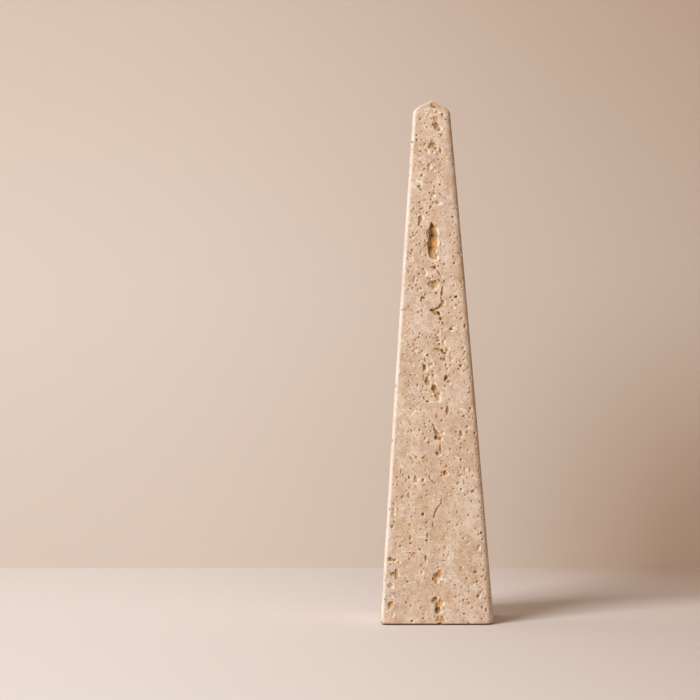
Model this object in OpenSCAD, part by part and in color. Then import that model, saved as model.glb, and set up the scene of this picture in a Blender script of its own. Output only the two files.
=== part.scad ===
/* [Block] */
// Height from the foot to the tip
height = 400; // [320:1:480]
// Width of the block at its foot, left to right
base_w = 86.5; // [76:0.5:100]
// Depth of the block at its foot, front to back
base_d = 86.5; // [76:0.5:100]
// Width of the shaft where the low point begins
top_w = 28.8; // [26:0.2:36]
// Depth of the shaft where the low point begins
top_d = 28.8; // [26:0.2:36]
// How far the hand-cut shaft drifts to the right by its top
drift = -3.4; // [-5:0.1:5]
// Height of the low four-sided point
point_h = 9.4; // [7:0.1:14]

/* [Edges] */
// Radius of the four long edges, and of the shoulder under the point
edge_r = 4; // [2:0.1:5]
// Radius of the softened edge round the foot
foot_r = 2; // [1:0.1:3]
// Radius of the worn tip
tip_r = 1.2; // [0.8:0.1:2]

/* [Voids] */
// Width of the largest void in the stone, which the others are shares of
void_w = 8.5; // [6:0.1:10]
// Length of the largest void, which the others are shares of
void_l = 28; // [20:0.5:34]
// Depth of the largest void, which the others are shares of
void_d = 7.5; // [4:0.1:9]

/* [Hidden] */

stone = [0.83, 0.70, 0.58];
facets = 32;

// Sides, as they are met going round the block to the right
FRONT = 0;
RIGHT = 1;
BACK = 2;
LEFT = 3;

// Rings of a void's rough bowl, from its mouth inwards: [depth share, width share]
bowl = [[-0.3, 1.1], [0, 1], [0.5, 0.84], [0.86, 0.48]];
spokes = 9;
// How far a void's wall wanders in and out, as a share of its width
wander = 0.13;
// Degrees by which the wander moves on from spoke to spoke and from ring to ring
spoke_turn = 143;
ring_turn = 67;

shaft_h = height - point_h;
point_angle = atan(point_h / (top_w / 2));
// The shoulder's corners are balls that touch both the shaft's sides and the point's
shoulder_z = shaft_h + edge_r * (tan(point_angle) - 1 / cos(point_angle));

// Each void is [height share, place across its side from -1 to 1, width share,
// length share, depth share, lean to the right in degrees]
front_voids = [
    [0.950, 0.28, 0.42, 0.25, 0.35, -20],
    [0.916, 0.08, 0.62, 0.26, 0.25, 10],
    [0.903, -0.22, 0.36, 0.12, 0.20, 0],
    [0.902, 0.41, 0.26, 0.16, 0.20, -8],
    [0.875, -0.13, 0.32, 0.16, 0.22, 20],
    [0.772, -0.46, 0.36, 0.18, 0.28, 15],
    [0.730, 0.00, 1.00, 1.00, 1.00, -2],
    [0.680, 0.03, 0.42, 0.15, 0.40, 30],
    [0.648, -0.04, 0.90, 0.30, 0.45, 35],
    [0.618, -0.34, 0.36, 0.17, 0.30, 12],
    [0.603, 0.06, 0.32, 0.33, 0.36, 68],
    [0.593, 0.05, 0.38, 0.32, 0.42, -57],
    [0.575, 0.23, 0.27, 0.28, 0.32, -27],
    [0.542, 0.08, 0.46, 0.17, 0.36, 0],
    [0.522, 0.13, 0.28, 0.30, 0.36, -65],
    [0.518, 0.33, 0.36, 0.16, 0.34, 0],
    [0.504, 0.41, 0.28, 0.22, 0.30, 5],
    [0.488, -0.27, 0.32, 0.20, 0.42, 0],
    [0.468, 0.26, 0.30, 0.17, 0.42, 0],
    [0.460, -0.20, 0.38, 0.24, 0.52, 0],
    [0.447, -0.04, 0.46, 0.26, 0.60, 0],
    [0.433, 0.07, 0.48, 0.24, 0.42, -12],
    [0.406, 0.30, 0.25, 0.27, 0.40, 8],
    [0.358, 0.03, 0.36, 0.25, 0.50, -12],
    [0.362, 0.58, 0.30, 0.18, 0.32, 0],
    [0.332, 0.11, 0.26, 0.25, 0.32, -5],
    [0.286, 0.21, 0.38, 0.14, 0.34, 0],
    [0.213, -0.88, 0.32, 0.20, 0.30, 0],
    [0.126, -0.20, 0.25, 0.17, 0.26, -5],
    [0.122, -0.87, 0.40, 0.18, 0.30, -75],
    [0.093, -0.76, 0.44, 0.26, 0.34, -10],
    [0.089, 0.01, 0.72, 0.34, 0.62, 0],
    [0.045, -0.01, 0.76, 0.24, 0.56, 20],
    [0.037, -0.82, 0.52, 0.22, 0.36, 0],
    [0.027, 0.01, 0.50, 0.25, 0.72, -20],
    [0.006, 0.07, 0.66, 0.22, 0.60, 0],
];
right_voids = [
    [0.885, 0.15, 0.40, 0.20, 0.35, 12],
    [0.790, -0.30, 0.44, 0.24, 0.40, -10],
    [0.700, 0.34, 0.60, 0.36, 0.55, 8],
    [0.655, 0.20, 0.36, 0.20, 0.36, -18],
    [0.520, -0.42, 0.50, 0.30, 0.46, 5],
    [0.430, 0.46, 0.42, 0.22, 0.40, -25],
    [0.330, -0.12, 0.66, 0.48, 0.62, 10],
    [0.290, 0.02, 0.40, 0.20, 0.40, 30],
    [0.185, 0.55, 0.46, 0.26, 0.42, -6],
    [0.090, -0.60, 0.56, 0.24, 0.44, 14],
];
back_voids = [
    [0.925, -0.20, 0.44, 0.20, 0.34, -15],
    [0.820, 0.22, 0.40, 0.28, 0.40, 6],
    [0.640, -0.12, 0.72, 0.56, 0.66, 4],
    [0.585, 0.10, 0.40, 0.22, 0.42, -20],
    [0.470, 0.44, 0.46, 0.20, 0.36, 16],
    [0.400, -0.50, 0.42, 0.26, 0.40, -8],
    [0.280, 0.16, 0.60, 0.34, 0.54, -5],
    [0.235, 0.26, 0.38, 0.18, 0.38, 24],
    [0.130, -0.38, 0.52, 0.30, 0.46, 10],
    [0.050, 0.60, 0.50, 0.20, 0.40, -12],
];
left_voids = [
    [0.860, 0.10, 0.42, 0.26, 0.38, 8],
    [0.745, -0.34, 0.40, 0.20, 0.36, -22],
    [0.610, 0.26, 0.56, 0.34, 0.52, -6],
    [0.550, 0.12, 0.38, 0.22, 0.40, 18],
    [0.455, -0.28, 0.62, 0.42, 0.56, 3],
    [0.360, 0.54, 0.42, 0.20, 0.38, -14],
    [0.245, -0.16, 0.44, 0.28, 0.42, 12],
    [0.160, 0.40, 0.58, 0.26, 0.46, -4],
    [0.070, -0.48, 0.48, 0.22, 0.42, 20],
];

function half_w(z) = (base_w + (top_w - base_w) * z / shaft_h) / 2;
function half_d(z) = (base_d + (top_d - base_d) * z / shaft_h) / 2;
function across_half(side, z) = side % 2 == 0 ? half_w(z) : half_d(z);
function out_half(side, z) = side % 2 == 0 ? half_d(z) : half_w(z);
function axis_x(z) = drift * z / shaft_h;

// A point at height z, a length a along a side and o out from the shaft's middle
function on_side(side, z, a, o) = [
    axis_x(z) + a * cos(90 * side) + o * sin(90 * side),
    a * sin(90 * side) - o * cos(90 * side),
    z
];

// Post at a corner of the foot, with its lower edge softened
module foot_corner() {
    rotate_extrude($fn = facets)
        polygon(concat(
            [[0, 0]],
            [for (a = [-90:22.5:0]) [edge_r - foot_r + foot_r * cos(a), foot_r + foot_r * sin(a)]],
            [[0, foot_r]]
        ));
}

// The dressed block, before any void shows in it
module block() {
    hull() {
        for (sx = [-1, 1], sy = [-1, 1]) {
            translate([
                axis_x(foot_r) + sx * (half_w(foot_r) - edge_r),
                sy * (half_d(foot_r) - edge_r),
                0
            ])
                foot_corner();
            translate([
                axis_x(shoulder_z) + sx * (half_w(shoulder_z) - edge_r),
                sy * (half_d(shoulder_z) - edge_r),
                shoulder_z
            ])
                sphere(r = edge_r, $fn = facets);
        }
        translate([axis_x(height), 0, height - tip_r])
            sphere(r = tip_r, $fn = facets);
    }
}

// Void in the stone: a rough bowl, w wide and l long at its mouth and d deep
module void(side, up, across, w, l, d, lean) {
    z = up * height;
    a = across * across_half(side, z);
    rings = len(bowl);
    points = [
        for (k = [0:rings - 1], j = [0:spokes - 1])
            let (
                reach = bowl[k][1] * (1 + wander * sin(spoke_turn * j + ring_turn * k + 3600 * up)),
                x = reach * w / 2 * cos(360 * j / spokes),
                y = reach * l / 2 * sin(360 * j / spokes),
                u = x * cos(lean) + y * sin(lean),
                v = y * cos(lean) - x * sin(lean)
            )
            on_side(side, z + v, a + u, out_half(side, z + v) - d * bowl[k][0])
    ];
    floor_point = on_side(side, z, a, out_half(side, z) - d);
    // Spoke j of ring k, and its neighbour on the next spoke
    function at(k, j) = k * spokes + j % spokes;
    polyhedron(
        points = concat(points, [floor_point]),
        faces = [
            [for (j = [spokes - 1:-1:0]) at(0, j)],
            for (k = [0:rings - 2], j = [0:spokes - 1])
                each [[at(k, j), at(k, j + 1), at(k + 1, j)], [at(k, j + 1), at(k + 1, j + 1), at(k + 1, j)]],
            for (j = [0:spokes - 1])
                [at(rings - 1, j), at(rings - 1, j + 1), rings * spokes]
        ]
    );
}

module voids(side, list) {
    for (v = list)
        void(side, v[0], v[1], v[2] * void_w, v[3] * void_l, v[4] * void_d, v[5]);
}

module obelisk() {
    color(stone)
        difference() {
            block();
            voids(FRONT, front_voids);
            voids(RIGHT, right_voids);
            voids(BACK, back_voids);
            voids(LEFT, left_voids);
        }
}

obelisk();
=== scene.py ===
import math
import random
from collections import namedtuple

import bmesh
import bpy
from bpy.props import FloatProperty, FloatVectorProperty, IntProperty, PointerProperty
from mathutils import Matrix, Vector, noise
from mathutils.bvhtree import BVHTree


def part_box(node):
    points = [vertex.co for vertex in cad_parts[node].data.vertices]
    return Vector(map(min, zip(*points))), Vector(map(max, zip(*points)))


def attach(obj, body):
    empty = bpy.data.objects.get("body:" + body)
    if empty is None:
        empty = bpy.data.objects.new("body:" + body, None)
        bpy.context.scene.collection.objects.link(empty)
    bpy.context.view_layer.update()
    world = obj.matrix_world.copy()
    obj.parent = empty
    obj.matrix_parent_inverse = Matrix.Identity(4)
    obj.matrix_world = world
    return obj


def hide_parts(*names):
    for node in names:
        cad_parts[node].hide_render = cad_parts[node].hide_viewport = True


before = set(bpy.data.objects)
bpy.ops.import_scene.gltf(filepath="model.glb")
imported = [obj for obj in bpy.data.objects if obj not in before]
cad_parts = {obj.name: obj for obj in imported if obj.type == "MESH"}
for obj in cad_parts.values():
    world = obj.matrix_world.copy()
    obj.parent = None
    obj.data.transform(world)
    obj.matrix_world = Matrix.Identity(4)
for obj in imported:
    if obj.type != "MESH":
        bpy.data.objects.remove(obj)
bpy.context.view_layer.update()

bl_info = {
    "name": "Travertine obelisk",
    "version": (1, 0, 0),
    "blender": (4, 5, 0),
    "location": "3D View > Sidebar > Obelisk",
    "description": "A table obelisk cut from one block of travertine, with its natural voids",
    "category": "Add Mesh",
}

MM = 0.001
UPWARDS = Vector((0, 0, 1))
BLOCK_LOW, BLOCK_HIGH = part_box("obelisk")
HEIGHT = BLOCK_HIGH[2] - BLOCK_LOW[2]
POINT_HEIGHT = 9.4 * MM
SHAFT_HEIGHT = HEIGHT - POINT_HEIGHT
FOOT_ROUNDING = 2 * MM
TOP_WIDTH = 28.6 * MM
# How far to the right the shaft's middle stands at its top, which is below nought as it leans left
DRIFT = -3.8 * MM
# The sides are widest where the foot's rounding ends, and run on from there to a foot a little wider
ROUNDING_SHARE = FOOT_ROUNDING / SHAFT_HEIGHT
FOOT_WIDTH = (BLOCK_HIGH[0] - BLOCK_LOW[0] - TOP_WIDTH * ROUNDING_SHARE) / (1 - ROUNDING_SHARE)

# The camera stands in front and a little to the left, at about the height of the obelisk's middle
CAMERA_PLACE = Vector((-36.0 * MM, -2.043, 207.7 * MM))
CAMERA_LENS_MM = 136.3
CAMERA_SENSOR_MM = 36
# The obelisk stands to the right of the picture's middle
CAMERA_SHIFT = -0.0563
# The percentage up the front at which the foot itself is seen
FOOT_SEEN = -0.1
MM_PER_PERCENT = HEIGHT / 100 / MM

# The table top and the backdrop are square sheets of this width
SHEET_SIZE = 8
LAMP_PLACE = Vector((-2.99, -3.83, 3.68))
LAMP_AIM = Vector((0, 0, 0.15))
LAMP_SIZE = 2.4
LAMP_COLOUR = (0.997, 1, 0.985)
ROOM_COLOUR = (1, 0.7, 0.34)

# Shares of the point's height, heights above the foot, rows up the shaft and places across a side from
# -1 to 1 at which the block gets new edges, so that its surface can be worn
POINT_ROWS = (0.24, 0.4, 0.56, 0.72, 0.86)
FOOT_ROWS = (3.2 * MM, 4.4 * MM, 6 * MM)
SHAFT_ROWS = 44
SIDE_COLUMNS = (-0.75, -0.5, -0.25, 0, 0.25, 0.5, 0.75)
# How far wear reaches in from a corner, up a corner and up the skirt of the foot
CORNER_REACH = 8 * MM
CORNER_HEIGHT = 70 * MM
SKIRT_HEIGHT = 6 * MM
# How far down from the tip the block is stretched to meet its full height
TIP_REACH = 3 * MM
# Where the sides swell most, the shaft is this many times as wide as at its top
SWELL_RATIO = 1.7

# Sides, as they are met going round the block to the right
FRONT, RIGHT, BACK, LEFT = range(4)

# How a kind of void is made: its depth as a share of its width, how far its widest part lies outside the
# stone, how much it narrows towards its floor, and how golden, how dark and how clean its lining is. A
# clean lining looks less deep than it is, and one whose cleanness is below nought looks deeper.
VoidKind = namedtuple("VoidKind", "depth lift narrowing golden darkness clean")
VOID_KINDS = {
    "plain": VoidKind(0.75, 0.1, 0.3, 0.05, 0.4, 0.0),
    "dark": VoidKind(0.95, 0.0, 0.2, 0.1, 0.8, 0.0),
    "crack": VoidKind(1.0, 0.1, 0.4, 0.2, 0.6, 0.0),
    "deep": VoidKind(0.7, 0.1, 0.3, 0.45, 0.5, 0.0),
    "gold": VoidKind(0.45, 0.25, 0.4, 0.9, 0.1, 0.0),
    "ochre": VoidKind(0.35, 0.45, 0.3, 0.45, 0.1, 0.2),
    "pale": VoidKind(0.25, 0.5, 0.2, 0.0, 0.0, 0.85),
    "flake": VoidKind(0.2, 0.3, 0.1, 0.42, 0.2, 0.0),
    "slot": VoidKind(1.0, 0.0, 0.2, 0.0, 1.0, -2.5),
    "stain": VoidKind(0.03, 0.9, 0.0, 0.0, 0.0, -0.45),
    "lip": VoidKind(0.2, 0.5, 0.2, 0.0, 0.0, 1.0),
}
LINING_MARKS = ("golden", "darkness", "clean")
# Kinds of void beside which no lip is worn
SHARP_KINDS = ("pale", "flake", "slot", "stain", "lip")
# Kinds of the lobes in a cluster, and of the scattered voids with how often each turns up in a hundred
LOBE_KINDS = ("deep", "gold", "gold", "dark")
SCATTERED_KINDS = {"plain": 60, "ochre": 14, "dark": 9, "crack": 6, "gold": 6, "pale": 5}
# Widths above which a void's cutter starts from the next finer ball, and how large the balls start,
# because one of few faces lies well inside its sphere
FINER_BALLS = (1.3 * MM, 2.9 * MM, 5.0 * MM)
BALL_SIZES = (1.16, 1.08, 1.02, 1)
# How far outside the block the search for a void's place on its surface starts
SEARCH_START = 20 * MM
# Width, length and depth of the largest void
LARGEST = (8.5 * MM, 28 * MM, 7.5 * MM)

# Voids of the front. Each is (percent up the height, percent across from the middle to the edge,
# width in mm, length in mm). One that leans goes on with its lean to the right in degrees, and a large
# one with its lean and then its depth in mm.
FRONT_FOOT = {
    "plain": [
        (8.8, 56, 1.5, 1.7), (8.3, 46, 0.8, 1.2), (8.0, 69, 1.1, 1.2), (8.8, 69, 0.9, 1.1),
        (8.2, 75, 1.6, 2.2, 30), (8.3, 26, 0.8, 0.8), (8.6, 92, 1.2, 1.5), (8.9, -75, 1.6, 1.6),
        (8.2, -54, 2.0, 1.3), (8.85, -22, 0.8, 0.9), (7.7, -17, 0.8, 1.4), (7.4, -30, 0.8, 1.0),
        (6.65, -62, 0.8, 1.0), (6.0, -44, 0.9, 1.8), (5.55, -60, 1.1, 1.3), (5.9, -76, 1.2, 2.6, -20),
        (5.3, -74, 1.0, 1.0), (5.45, -84, 1.0, 1.2), (4.8, -94, 1.3, 0.8), (4.85, -83, 0.8, 0.8),
        (7.55, 34, 1.0, 2.2, 65), (7.2, 46, 1.1, 1.2), (6.45, 54, 0.9, 0.9), (6.3, 59, 1.1, 1.5, 20),
        (6.6, 91, 0.9, 1.3), (6.6, 84, 1.2, 1.2), (6.2, 80, 1.4, 1.8, 40), (5.0, 88, 1.0, 3.0, 10),
        (5.35, 34, 1.2, 2.0, 55), (4.7, 48, 1.5, 2.2, 20), (4.85, 55, 1.2, 1.2), (4.4, 41, 0.9, 3.0),
        (4.1, 57, 1.6, 1.4), (4.5, 68, 1.0, 1.0), (4.1, 80, 0.8, 1.0), (3.6, 33, 0.8, 1.6),
        (3.3, 81, 1.3, 3.2, -15), (2.8, 88, 1.7, 3.6, -20), (3.2, 63, 1.2, 2.1, 60),
        (2.75, 38, 1.0, 2.0, 35), (2.1, 48, 1.6, 1.2), (2.1, 55, 0.8, 1.2), (2.2, 73, 1.0, 1.0),
        (1.6, 84, 1.1, 2.8), (1.7, 41, 1.0, 1.0), (1.45, 66, 0.9, 0.9), (1.1, 79, 1.5, 1.0),
        (0.8, 47, 0.9, 2.0, -20), (0.7, -44, 2.1, 1.3), (0.6, -22, 0.9, 1.6), (1.2, -24, 1.7, 1.7),
        (2.0, -24, 1.0, 0.7), (1.55, -4, 1.1, 1.8), (1.1, -12, 0.8, 0.8), (4.3, -55, 1.4, 1.5),
        (3.65, -47, 1.3, 1.8), (4.55, -33, 0.8, 1.2), (3.2, -29, 1.3, 1.6, 30), (5.9, -8, 0.9, 1.2),
        (5.2, -51, 0.8, 1.2), (0.5, -97, 1.2, 1.0), (5.5, 75, 2.1, 3.3, 20),
    ],
    "ochre": [
        (8.8, -66, 1.2, 1.4), (8.4, -93, 2.2, 4.2, -25), (7.5, -86, 3.6, 3.6), (7.5, -62, 1.0, 1.2),
        (7.3, 60, 1.0, 2.6, -8), (2.4, -21, 1.2, 1.5), (2.0, -78, 2.2, 2.2), (3.9, -37, 1.0, 1.0),
    ],
    "crack": [(7.2, -5, 0.9, 5.2, -37)],
    "deep": [
        (9.3, 0, 4.6, 5.0, 0, 2.6), (8.8, -4, 3.4, 3.6, 0, 2.0), (4.65, -4, 5.0, 5.4, 12, 2.4),
        (4.0, -83, 4.4, 3.2, 0, 2.2), (3.75, 1, 4.4, 3.8, 0, 2.4), (3.5, -84, 2.4, 3.8, 6, 2.0),
        (9.7, -81, 3.2, 3.2, 0, 1.6), (9.5, -75, 2.6, 5.4, 8, 1.8),
    ],
    "dark": [
        (5.0, -2, 1.8, 1.8, 0, 3.4), (0.1, 5, 3.4, 1.4, 0, 2.2), (10.3, -76, 1.8, 1.8, 0, 1.8),
        (2.85, 1.5, 4.2, 5.8, -10, 3.4),
    ],
    "gold": [
        (10.05, 6, 2.4, 3.4, 28, 1.8), (9.4, 6, 2.2, 4.2, 10, 1.5), (8.3, -1, 2.8, 3.4, 0, 1.8),
        (4.3, 6, 3.6, 5.6, -10, 1.7), (1.2, 1, 2.0, 3.4, 0, 1.5), (1.4, 9, 2.2, 2.4, 0, 1.2),
        (0.6, 6, 7.0, 5.2, 0, 1.3),
    ],
    "pale": [(0.25, 55, 3.4, 1.4, 60, 1.0)],
}
FRONT_LOW = {
    "plain": [
        (16.6, -51, 1.6, 3.6), (15.5, -50, 1.7, 1.8), (15.5, -78, 1.0, 2.6), (15.75, -66, 1.1, 1.3),
        (15.0, -70, 1.6, 1.2), (16.5, -62, 0.9, 1.0), (16.8, -76, 0.9, 1.2), (16.4, -80, 0.8, 0.9),
        (16.1, -19, 2.0, 1.2), (15.7, -18, 1.0, 2.5), (16.8, 16, 1.0, 1.5), (16.2, 12, 0.8, 0.9),
        (16.5, 54, 1.1, 1.1), (15.7, 44, 0.8, 0.9), (15.7, 61, 1.1, 4.4, 60), (14.3, 6, 0.9, 1.5),
        (16.3, 91, 1.6, 1.8), (14.4, -32, 1.4, 1.6), (13.7, -51, 1.5, 1.9, 30),
        (12.5, -51, 1.3, 1.7, -25), (12.7, -20, 1.9, 4.8), (13.25, 14, 1.0, 1.2),
        (13.4, 23, 1.0, 1.6, 40), (12.2, 14, 1.4, 0.9), (13.5, 36, 0.8, 0.9), (13.9, 49, 1.0, 1.0),
        (13.3, 71, 0.8, 1.2, 30), (13.5, 88, 1.3, 1.5), (12.2, 65, 1.0, 1.1), (12.1, 40, 0.8, 0.8),
        (12.3, 81, 0.8, 0.9), (11.5, -87, 1.2, 1.2), (11.7, -82, 0.8, 1.2), (10.95, -92, 1.0, 1.8),
        (11.3, -29, 1.6, 1.2), (10.7, -24, 0.8, 1.4), (11.7, -57, 0.7, 0.7), (11.6, 2, 0.8, 1.2, 30),
        (11.0, 3, 1.1, 1.1), (10.9, 46, 1.0, 2.8, 60), (10.4, 46, 1.1, 2.8, 60), (11.35, 59, 0.8, 1.2),
        (10.7, 66, 0.8, 2.0, -50), (11.3, 84, 0.9, 1.4, -20), (10.4, 89, 1.5, 1.5), (10.1, 73, 2.4, 2.0),
        (9.35, -11, 0.9, 1.0), (9.3, 48, 1.0, 1.2), (9.7, 52, 0.9, 0.9), (9.25, 85, 1.5, 1.2),
        (14.8, 82, 1.5, 4.6, 8), (25.6, -61, 0.9, 1.2), (24.65, -57, 1.5, 4.6, -5),
        (24.4, -70, 1.6, 3.0, 35), (24.35, -82, 1.2, 1.2), (23.8, -85, 0.9, 1.2), (23.1, -88, 0.9, 2.6),
        (22.1, -78, 1.3, 0.9), (22.75, -56, 0.9, 1.0), (22.0, -55, 0.9, 0.9), (22.0, -41, 1.0, 1.1),
        (21.3, -43, 0.8, 1.2), (22.4, -22, 0.8, 1.0), (24.7, -19, 1.2, 1.2), (25.5, -18, 1.3, 1.5, 20),
        (24.15, -29, 1.2, 1.0), (19.5, -18, 1.4, 2.4, 50), (22.7, 14, 0.8, 1.0), (21.5, 44, 1.1, 4.0),
        (20.35, 42, 0.9, 1.4, 15), (19.1, 43, 1.4, 1.5), (19.3, 52, 1.0, 1.8, -25), (19.35, 23, 1.0, 1.4),
        (19.6, 28, 1.2, 1.7, -10), (18.65, 13, 1.0, 0.9), (18.25, -2, 0.8, 1.0),
        (18.2, 24, 1.0, 1.4, -20), (17.6, 21, 0.9, 1.3, 20), (18.05, 35, 1.1, 1.1), (18.4, 79, 1.2, 1.2),
        (18.0, 83, 0.9, 0.9), (17.25, 84, 1.4, 1.2), (17.2, 50, 1.1, 1.4), (19.1, -53, 1.5, 1.4),
        (18.2, -30, 1.1, 2.0, 20), (18.7, -88, 1.8, 1.9, 40), (19.65, -84, 1.2, 1.4),
        (25.45, 78, 1.9, 3.2, 60), (25.2, 83, 0.9, 1.2), (25.35, 69, 1.1, 1.6), (25.85, 54, 1.8, 1.6),
        (25.95, 38, 1.2, 1.2), (25.1, 25, 1.0, 1.0), (25.4, 18, 0.8, 2.6, 50), (24.75, 62, 1.2, 1.2),
        (24.9, 49, 0.8, 1.0), (23.6, 75, 1.3, 2.2, 35), (23.45, 91, 1.2, 1.5), (22.25, 94, 1.4, 1.5),
        (23.1, 58, 0.8, 0.9), (20.5, 94, 1.2, 1.6), (20.9, 66, 1.6, 1.0), (20.65, 86, 1.2, 1.4),
        (19.55, 84, 0.8, 1.5, 60), (21.4, 28, 0.9, 1.6, 30), (20.65, -50, 1.2, 1.1),
        (22.0, -95, 1.0, 1.0),
    ],
    "ochre": [
        (16.1, -10, 1.6, 1.4), (12.75, 20, 1.3, 1.7), (11.9, -73, 2.4, 2.2), (11.2, -57, 1.2, 1.6),
        (9.95, -28, 1.9, 1.9), (21.6, -87, 2.5, 5.0), (22.0, -87, 2.2, 1.6), (20.8, 23, 1.1, 1.7, 40),
    ],
    "gold": [(14.65, 17, 2.1, 3.4, -10)],
    "deep": [(12.45, -88, 3.3, 3.1, 0, 2.6), (12.3, -81, 3.4, 1.7, 0, 1.5)],
    "dark": [(21.1, -26.5, 1.7, 2.3, 0, 2.4), (17.5, 90, 1.7, 1.8, 0, 2.0), (17.0, -17, 1.2, 3.4, -5)],
    "crack": [
        (23.7, 12.2, 1.1, 3.4), (23.15, 11, 1.1, 3.0, 29), (22.6, 6.2, 1.2, 4.2, 45),
        (22.1, 1.8, 1.3, 2.6, 30), (21.55, -0.8, 1.4, 3.6, 18), (20.8, -3, 1.2, 4.0, 12),
    ],
    "pale": [(18.15, -53, 2.8, 1.5), (18.0, -47, 1.6, 2.6, -30)],
    "stain": [
        (13.4, -39, 6.4, 5.4, 0, 0.34), (19.7, -5.5, 3.4, 5.4, 14, 0.5), (19.1, -7, 4.2, 5.8, 20, 0.6),
        (31.0, -23, 4.0, 5.0, 0, 0.26),
    ],
}
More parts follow.
